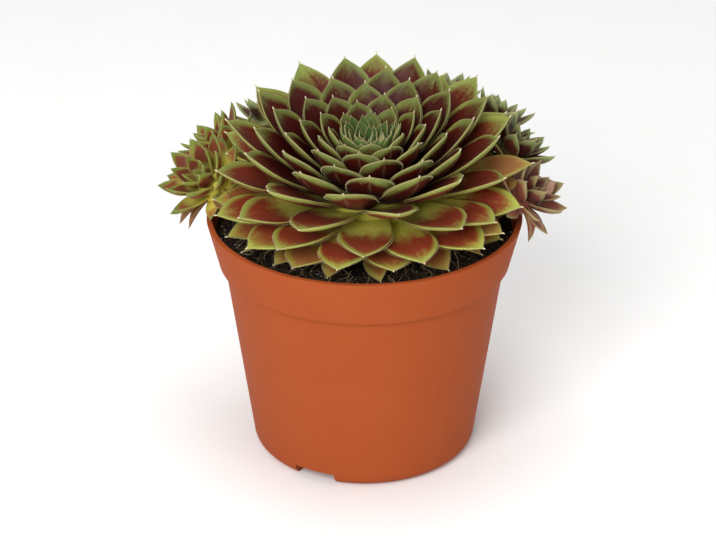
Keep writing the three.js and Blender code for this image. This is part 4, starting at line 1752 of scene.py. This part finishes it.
@dataclass
class Peat:
    """The dark peat in the pot, with crumbs, fibres and pale grit on it.

    The surface swells by the relief in long waves, which die out at the wall, and is broken by lumps. Little lies
    loose in the shelter of the head, and more in the open, leaning and turned by so many radians at most.
    """

    pot: NurseryPot
    below_rim: float = 5.6
    gap: float = 0.3
    relief: float = 0.45
    calm_edge: float = 6.0
    lump: float = 0.22
    rings: int = 70
    sides: int = 180
    underside: float = 5.8
    foot_inset: float = 0.6
    top_depth: float = 1.2
    shelter: Span = (22.0, 38.0)
    shelter_share: float = 0.1
    loose_lean: float = 0.5
    loose_turn: float = 6.28

    INPUTS = {
        "Geometry": "Geometry",
        "Shape": "Object",
        "Density": "Float",
        "Smallest": "Float",
        "Largest": "Float",
        "Within": "Float",
        "Seed": "Int",
        "Finish": "Material",
    }

    @property
    def level(self) -> float:
        """Height of the soil's top."""
        return self.pot.height - self.below_rim

    def surface(self, x: float, y: float) -> float:
        """Gives the height of the soil's low swells at a place.

        Args:
            x: The place's x in millimetres.
            y: Its y in millimetres.

        Returns:
            The height in millimetres.
        """
        edge = min(max((self.pot.body_top_radius - math.hypot(x, y)) / self.calm_edge, 0), 1)
        # Waves of about 20 and 8 mm from crest to crest.
        swell = math.sin(x * 0.31 + 1.3) * math.cos(y * 0.27) + 0.6 * math.sin(x * 0.62 - y * 0.55)
        return self.level + self.relief * swell * edge * edge * (3 - 2 * edge)

    def block(self) -> Mesh:
        """Makes the soil's body: the pot's inside, with a finely divided top.

        Returns:
            The mesh.
        """
        profile = [at for at in self.pot.inside(self.level, self.gap) if at[1] > self.underside + 0.5]
        foot_radius = self.pot.body_foot_radius - self.pot.wall - self.gap - self.foot_inset
        foot = [(0.0, self.underside), (foot_radius, self.underside)]
        wide = profile[-2][0]
        top = [(wide * (1 - i / self.rings), self.level) for i in range(1, self.rings)]
        mesh = lathe("peat_soil", foot + profile[:-1] + top + [(0, self.level)], self.sides)
        for vertex in mesh.vertices:
            x, y, z = vertex.co / MM
            if z > self.level - 0.01 and math.hypot(x, y) < wide - 0.1:
                # Lumps of about 3 mm.
                lump = math.sin(x * 2.1 + 3 * math.sin(y * 1.3)) * math.sin(y * 2.4 + 2 * math.sin(x * 1.7))
                vertex.co.z = (self.surface(x, y) + self.lump * lump) * MM
        mesh.shade_smooth()
        return mesh

    def scatter_tree(self) -> tuple[NodeTree, dict[str, str]]:
        """Builds the Geometry Nodes that scatter a small shape over the soil's open surface.

        Returns:
            The tree, and each input's identifier by its name.
        """
        tree, inlets = node_group("Loose matter on the soil", self.INPUTS)
        start = add_node(tree, "NodeGroupInput").outputs
        spot = add_node(tree, "GeometryNodeInputPosition")
        x, y, z = add_node(tree, "ShaderNodeSeparateXYZ", (spot,)).outputs
        high = add_node(
            tree,
            "FunctionNodeCompare",
            (z, (self.level - self.top_depth) * MM),
            data_type="FLOAT",
            operation="GREATER_THAN",
        )
        flat = add_node(tree, "ShaderNodeCombineXYZ", (x, y))
        away = add_node(tree, VECTOR_MATH, (flat,), operation="LENGTH").outputs["Value"]
        inner = add_node(tree, "FunctionNodeCompare", (away, start["Within"]), data_type="FLOAT", operation="LESS_THAN")
        both = add_node(tree, "FunctionNodeBooleanMath", (high, inner), operation="AND")
        shelter, open_air = (radius * MM for radius in self.shelter)
        outward = add_node(tree, MAP_RANGE, (away, shelter, open_air, self.shelter_share, 1.0))
        dense = add_node(tree, MATH, (start["Density"], outward), operation="MULTIPLY")
        spread = add_node(
            tree,
            "GeometryNodeDistributePointsOnFaces",
            {"Mesh": start["Geometry"], "Selection": both, "Density": dense, "Seed": start["Seed"]},
        )
        shape = add_node(tree, "GeometryNodeObjectInfo", {"Object": start["Shape"]})
        lean = self.loose_lean
        turn = add_node(
            tree,
            "FunctionNodeRandomValue",
            {0: (-lean, -lean, 0.0), 1: (lean, lean, self.loose_turn), "Seed": start["Seed"]},
            data_type="FLOAT_VECTOR",
        )
        scale = add_node(
            tree,
            "FunctionNodeRandomValue",
            {2: start["Smallest"], 3: start["Largest"], "Seed": start["Seed"]},
            data_type="FLOAT",
        )
        copies = add_node(
            tree,
            "GeometryNodeInstanceOnPoints",
            {"Points": spread, "Instance": shape.outputs["Geometry"], "Rotation": turn, "Scale": scale.outputs[1]},
        )
        real = add_node(tree, "GeometryNodeRealizeInstances", (copies,))
        dressed = add_node(tree, "GeometryNodeSetMaterial", {"Geometry": real, "Material": start["Finish"]})
        add_node(tree, "NodeGroupOutput", (dressed,))
        return tree, inlets

    @staticmethod
    def crumb(radius: float = 0.5, unevenness: float = 0.3, height: float = 0.75, seed: int = 3) -> Object:
        """Makes one crumb, an uneven lump.

        Args:
            radius: Its radius in millimetres.
            unevenness: How far its corners stray, as a share of the radius.
            height: Its height as a share of its width.
            seed: The seed of its shape.

        Returns:
            The object, out of sight.
        """
        work = bmesh.new()
        bmesh.ops.create_icosphere(work, subdivisions=1, radius=radius * MM)
        for i, vertex in enumerate(work.verts):
            vertex.co *= 1 + unevenness * draw(seed, i, 1)
            vertex.co.z *= height
        return bpy.data.objects.new("crumb", finished(work, "crumb"))

    @staticmethod
    def fibre(length: float, radius: float, curl: float, taper: float = 0.6, steps: int = 8) -> Object:
        """Makes one fibre, a thin bent thread of three sides.

        Args:
            length: Its length in millimetres.
            radius: Its radius in millimetres.
            curl: How far it bows, as a share of its length.
            taper: How much of its radius it loses to its end.
            steps: Number of its stretches.

        Returns:
            The object, lying along X.
        """
        shares = [i / steps for i in range(steps + 1)]
        # Most of half a wave sideways, and a little more than one up and down.
        path = [
            Vector(((t - 0.5) * length, curl * length * math.sin(2.6 * t), 0.12 * length * math.sin(4 * t + 0.6)))
            for t in shares
        ]
        work = bmesh.new()
        add_tube(work, path, [radius * (1 - taper * t) for t in shares], 3)
        return bpy.data.objects.new("fibre", finished(work, "fibre"))

    def build(self) -> None:
        """Builds the soil and what lies on it, and hands the pieces over."""
        soil = mesh_object("peat_soil", self.block(), Ground("Damp peat", "#0e0a07", "#2b2017").material())
        crumbs = Ground("Peat crumb", "#120d0a", "#584733", grain_mm=0.9).material()
        straw = Ground("Peat fibre", "#4a3828", "#8f7a5c", grain_mm=2.0).material()
        grit = Ground("Pale grit", "#8c8676", "#c9c2ae", grain_mm=0.8, rough=0.8).material()
        lump, thread = self.crumb(), self.fibre(6, 0.11, 0.2)
        tree, inlets = self.scatter_tree()
        pieces = []
        # Copies in a square centimetre, smallest and largest scale, and the radius that they keep within.
        for name, shape, count, smallest, largest, within, seed, finish in (
            ("peat_crumbs", lump, 62, 0.5, 1.9, 48.6, 11, crumbs),
            ("peat_fibres", thread, 7, 0.5, 1.3, 45.0, 23, straw),
            ("grit", lump, 7, 0.3, 0.95, 49.0, 31, grit),
        ):
            values = {
                "Shape": shape,
                "Density": count * PER_CM2,
                "Smallest": smallest,
                "Largest": largest,
                "Within": within * MM,
                "Seed": seed,
                "Finish": finish,
            }
            pieces.append(grown(mesh_object(name, soil.data.copy(), None), tree, inlets, values))
        hand_over(soil, "peat", "soil")
        for piece in pieces:
            hand_over(piece, "peat")


# ---------------------------------------------------------------- stolons


@dataclass
class Stolon:
    """The runner from the mother's stem, over the soil and up into one chick, and its anchoring root.

    Level and early are shares of the way; the other lengths are in millimetres.
    """

    chick: Rosette
    mother: Rosette
    soil: Peat
    radius: float = 1.2
    above_soil: float = 2.3
    from_stem: float = 0.9
    level: float = 0.55
    rise: float = 1.5
    early: float = 0.35
    under_crown: float = 3.5
    into_crown: float = 1.5
    root_inset: float = 4.0
    root_back: float = 3.0
    root_radius: float = 1.5
    root_taper: float = 0.6
    root_depth: float = 9.0
    knuckle: float = 0.14
    knuckle_turn: float = 1.4
    knuckle_sharpness: int = 6
    steps: int = 36
    sides: int = 10

    def route(self) -> list[Vector]:
        """Finds the runner's points, from the mother's stem to the chick's crown.

        Returns:
            Points in millimetres.
        """
        centre = Vector(self.chick.centre)
        start = Vector((self.mother.centre[0], self.mother.centre[1], 0))
        out = Vector((centre.x, centre.y, 0)) - start
        distance = out.length
        out.normalize()
        lie = self.soil.level + self.above_soil
        up = (self.chick.place().to_3x3() @ Vector((0, 0, 1))).normalized()
        foot = min(distance - self.root_inset, self.soil.pot.body_top_radius - 2 * self.root_inset)
        flat = [self.mother.stem_radius + self.from_stem, foot * self.level, foot - self.root_back]
        bend = start + out * foot + Vector((0, 0, lie + self.rise))
        return [
            *(start + out * along + Vector((0, 0, lie)) for along in flat),
            (centre - up * self.under_crown).lerp(bend, self.early),
            centre + up * self.into_crown,
        ]

    def build(self, bark: Material) -> None:
        """Builds the runner as a smooth, slightly knuckled tube with its root under it, and hands it over.

        Args:
            bark: The runner's finish.
        """
        name = self.chick.node + "_stolon"
        swells = (max(0.0, math.cos(i * self.knuckle_turn)) ** self.knuckle_sharpness for i in range(self.steps + 1))
        girths = [self.radius * (1 + self.knuckle * swell) for swell in swells]
        route = self.route()
        work = bmesh.new()
        add_tube(work, spline(route, self.steps), girths, self.sides)
        _, _, anchor, *_ = route
        root_tip = anchor - Vector((0, 0, self.root_depth))
        add_tube(work, [anchor, root_tip], [self.root_radius, self.root_radius * self.root_taper], self.sides)
        mesh = finished(work, name)
        mesh.shade_smooth()
        hand_over(mesh_object(name, mesh, bark), self.chick.slot)


@dataclass
class Rootlets:
    """Thin pale roots that hang from under the mother's leaves and run into the soil.

    Angles are in degrees, lengths in millimetres. A pair is a middle value and how far it varies, apart from the
    shares, which say how far out and how high a root's two middle points lie.
    """

    mother: Rosette
    soil: Peat
    count: int = 36
    thickest: float = 0.17
    thinning: float = 0.5
    vary_girth: Span = (0.75, 0.25)
    first_angle: float = -168.0
    last_angle: float = -12.0
    vary_angle: float = 5.0
    begin: Span = (37.0, 5.0)
    reach: Span = (6.0, 5.0)
    farthest: float = 48.3
    underside: float = 2.2
    fall_share: float = 0.6
    low_point: Span = (1.2, 0.8)
    into_soil: float = 0.2
    out_shares: Span = (0.45, 0.8)
    sway: float = 2.6
    seed: int = 17
    steps: int = 9
    sides: int = 4

    def path(self, root: int) -> list[Vector]:
        """Finds one root's points.

        Args:
            root: The root's number.

        Returns:
            Points in millimetres, from under the leaves to the soil.
        """
        near, far, high, *sway = (draw(self.seed, root, use) for use in range(1, 7))
        spread = self.last_angle - self.first_angle
        turn = math.radians(self.first_angle + spread * root / (self.count - 1) + self.vary_angle * near)
        out, across = Vector((math.cos(turn), math.sin(turn), 0)), Vector((-math.sin(turn), math.cos(turn), 0))
        begin = self.begin[0] + self.begin[1] * far
        end = min(begin + self.reach[0] + self.reach[1] * high, self.farthest)
        axis, lean = self.mother.tilt()
        fall = begin * math.sin(lean) * out.dot(Vector((axis.y, -axis.x, 0)))
        top, floor = self.mother.centre[2] + self.underside - fall, self.soil.level
        low = floor + self.low_point[0] + self.low_point[1] * high
        heights = (top, floor + self.fall_share * (top - floor), low, floor - self.into_soil)
        reaches = (begin, *(begin + share * (end - begin) for share in self.out_shares), end)
        shifts = (0.0, *(self.sway * value for value in sway))
        return [out * r + across * d + Vector((0, 0, h)) for r, d, h in zip(reaches, shifts, heights)]

    def build(self, skin: Material) -> None:
        """Builds the roots as one piece and hands it over.

        Args:
            skin: The roots' finish.
        """
        work = bmesh.new()
        for root in range(self.count):
            girth = self.thickest * (self.vary_girth[0] + self.vary_girth[1] * draw(self.seed, root, 9))
            girths = [girth * (1 - self.thinning * i / self.steps) for i in range(self.steps + 1)]
            add_tube(work, spline(self.path(root), self.steps), girths, self.sides)
        hand_over(mesh_object("rootlets", finished(work, "rootlets"), skin), self.mother.slot)


# ---------------------------------------------------------------- studio


@dataclass
class Studio:
    """A plain pale floor, soft lights and the camera.

    The camera looks at a point over the pot's middle, from a distance in millimetres and at an angle in degrees.
    """

    distance_mm: float = 800.0
    elevation: float = 27.4
    target_mm: float = 62.5
    sideways_mm: float = -2.16
    lens: float = 119.4
    sensor: float = 36.0
    clip: float = 0.01
    lit_height: float = 0.08
    floor_half: float = 3.0
    daylight: float = 0.45

    def camera(self) -> None:
        """Sets the camera in front of the pot, looking a little down."""
        rise = math.radians(self.elevation)
        back = Vector((0, -math.cos(rise), math.sin(rise)))
        data = bpy.data.cameras.new("camera")
        data.lens, data.sensor_width, data.clip_start = self.lens, self.sensor, self.clip
        camera = bpy.data.objects.new("camera", data)
        camera.location = Vector((self.sideways_mm, 0, self.target_mm)) * MM + back * self.distance_mm * MM
        camera.rotation_euler = (-back).to_track_quat("-Z", "Y").to_euler()
        bpy.context.scene.collection.objects.link(camera)
        bpy.context.scene.camera = camera

    def lamp(self, name: str, place: Place, size: float, power: float) -> None:
        """Hangs one soft square light that faces the plant.

        Args:
            name: The light's name.
            place: Its place in metres.
            size: Its side in metres.
            power: Its power in watts.
        """
        data = bpy.data.lights.new(name, "AREA")
        data.size, data.energy = size, power
        light = bpy.data.objects.new(name, data)
        light.location = place
        light.rotation_euler = (Vector((0, 0, self.lit_height)) - Vector(place)).to_track_quat("-Z", "Y").to_euler()
        bpy.context.scene.collection.objects.link(light)

    def floor(self) -> None:
        """Lays the pale floor."""
        half = self.floor_half
        mesh = bpy.data.meshes.new("floor")
        mesh.from_pydata([(-half, -half, 0), (half, -half, 0), (half, half, 0), (-half, half, 0)], [], [(0, 1, 2, 3)])
        paper = Ground("Matte white paper", "#fdfdfc", "#ffffff", grain_mm=30, rough=1.0, depth=0.01).material()
        mesh_object("floor", mesh, paper)

    def build(self) -> None:
        """Builds the studio."""
        self.camera()
        self.floor()
        self.lamp("key", (-0.38, -1.0, 0.8), 0.7, 13.5)
        self.lamp("fill", (0.9, -0.8, 0.6), 0.9, 1.5)
        self.lamp("top", (0.0, 0.1, 1.25), 0.8, 5)
        world = bpy.data.worlds.new("studio")
        world.use_nodes = True
        background = world.node_tree.nodes["Background"].inputs
        background["Color"].default_value = linear("#ffffff")
        background["Strength"].default_value = self.daylight
        bpy.context.scene.world = world
        bpy.context.scene.view_settings.view_transform = "Standard"


# ---------------------------------------------------------------- the whole

LEFT_DRIED = (
    DriedLeaf((-61.5, -5, 82), 4.5, 1.0),
    DriedLeaf((-58.4, -5, 80.3), 3.8, 0.9),
    DriedLeaf((-44, -12, 90), 6, 0.7, droop=5),
)
BESIDE_RIGHT = (DriedLeaf((36, 4, 103), 11, 0.1, droop=4, curl=0.3, thickness=1.3),)
RIGHT_DRIED = (
    DriedLeaf((54.6, -4, 74.8), 5, 0.0),
    DriedLeaf((55, 0, 101), 8, 0.3, droop=4, curl=0.3),
    DriedLeaf((63.2, -4, 97.5), 9, 0.6, droop=4, curl=0.3),
    DriedLeaf((59, -14, 84), 4, 0.9),
)
LOW_LEAVES = tuple(
    DriedLeaf(tip, width, dryness, droop=4, curl=0.3, thickness=1.0)
    for tip, width, dryness in (
        ((-45.5, -20, 84.8), 13, 0.15),
        ((-40, -29, 83.8), 12, 0.1),
        ((-29.5, -36.5, 83), 12, 0.22),
        ((-12, -44.5, 82.4), 10, 0.3),
        ((5, -46.3, 82), 9, 0.2),
        ((27, -40.5, 83), 12, 0.25),
        ((38, -31, 83.8), 12, 0.35),
        ((45, -21.5, 84.6), 13, 0.12),
        ((-46, 4, 104), 17, 0.05),
        ((52, -7, 98.3), 14, 0.45),
    )
)


def chick(
    name: str,
    radius: float,
    leaves: int,
    centre: Place,
    lean: float,
    towards: float,
    index: int,
    skin: ChickSkin,
    dried: tuple[DriedLeaf, ...] = (),
) -> Rosette:
    """Describes one chick: the common rows, scaled to its radius.

    Args:
        name: The solid's name.
        radius: The head's radius in millimetres.
        leaves: Number of leaves.
        centre: Place of the lowest leaf's foot: x, y and height above the rim.
        lean: How far it leans, in degrees.
        towards: Where it leans, in degrees.
        index: Its number.
        skin: Its colouring.
        dried: Its old, shrivelled leaves.

    Returns:
        The rosette.
    """
    return Rosette(
        node=name,
        slot="chick_leaf",
        finish=skin.value,
        rows=CHICK_ROWS,
        leaves=leaves,
        first_angle=40.0 * index,
        centre=(centre[0], centre[1], NurseryPot.height + centre[2]),
        lean=lean,
        lean_towards=towards,
        seed=index + 2,
        scale=radius / CHICK_ROWS_RADIUS,
        outline=CHICK_OUTLINE,
        core_sides=16,
        core_rings=3,
        core_station=0.3,
        tooth_mm=0.8,
        dried=dried,
    )


def heads(pot: NurseryPot) -> tuple[Rosette, list[Rosette]]:
    """Describes every head of the plant.

    Args:
        pot: The pot that they stand in.

    Returns:
        The mother and the chicks.
    """
    mother = Rosette(
        node="mother_rosette",
        slot="mother_leaf",
        finish=MOTHER_SKIN,
        rows=MOTHER_ROWS,
        leaves=113,
        first_angle=233,
        centre=(2.3, 0.1, pot.height + 1),
        lean=7.9,
        lean_towards=-106.5,
        seed=4,
        outline=MOTHER_OUTLINE,
        stem_radius=7.2,
        stem_depth=15,
        core_sides=48,
        teeth=46,
        bud=HeartBud(leaves=26),
        fading=((82, 0.22), (90, 0.35), (103, 0.5), (86, 0.2), (108, 0.3)),
        dried=LOW_LEAVES,
    )
    chicks = [
        chick("chick_left", 17, 30, (-49.4, 3.5, 7.5), 42, -150, 0, ChickSkin.BRICK, LEFT_DRIED),
        chick("chick_left_upper", 16, 24, (-46, 26, 9), 42, 165, 1, ChickSkin.BRICK),
        chick("chick_back_left", 14, 21, (-32, 40.5, 12.5), 24, 125, 2, ChickSkin.SHADED),
        chick("chick_back_right", 14, 21, (27, 43, 19), 14, 60, 3, ChickSkin.SHADED),
        chick("chick_right_back", 15, 23, (42.5, 29.5, 16), 32, 36, 4, ChickSkin.SHADED),
        chick("chick_right", 15, 26, (47.5, 12, 13.5), 40, 12, 5, ChickSkin.BURGUNDY, BESIDE_RIGHT),
        chick("chick_right_low", 15, 22, (50.5, -6, 7.5), 50, -14, 6, ChickSkin.ROSY, RIGHT_DRIED),
    ]
    return mother, chicks


def main() -> None:
    """Builds every piece in order."""
    logging.basicConfig(level=logging.INFO, format="%(message)s")
    Studio().build()
    pot = NurseryPot()
    pot.build()
    soil = Peat(pot)
    soil.build()
    mother, chicks = heads(pot)
    nodes = RosetteTree()
    down = DOWN.material()
    finishes = dict.fromkeys([mother.finish, *(head.finish for head in chicks)])
    skins = {finish: finish.material() for finish in finishes}
    bark = Ground("Stolon skin", "#5a3c28", "#8a6a42", grain_mm=1.5, rough=0.6, depth=0.15).material()
    for head in [mother, *chicks]:
        head.build(nodes, skins[head.finish], down)
    for head in chicks:
        Stolon(head, mother, soil).build(bark)
    Rootlets(mother, soil).build(Ground("Aerial root", "#5d4a31", "#c4af88", grain_mm=4.0, rough=0.7).material())


if __name__ == "__main__":
    main()
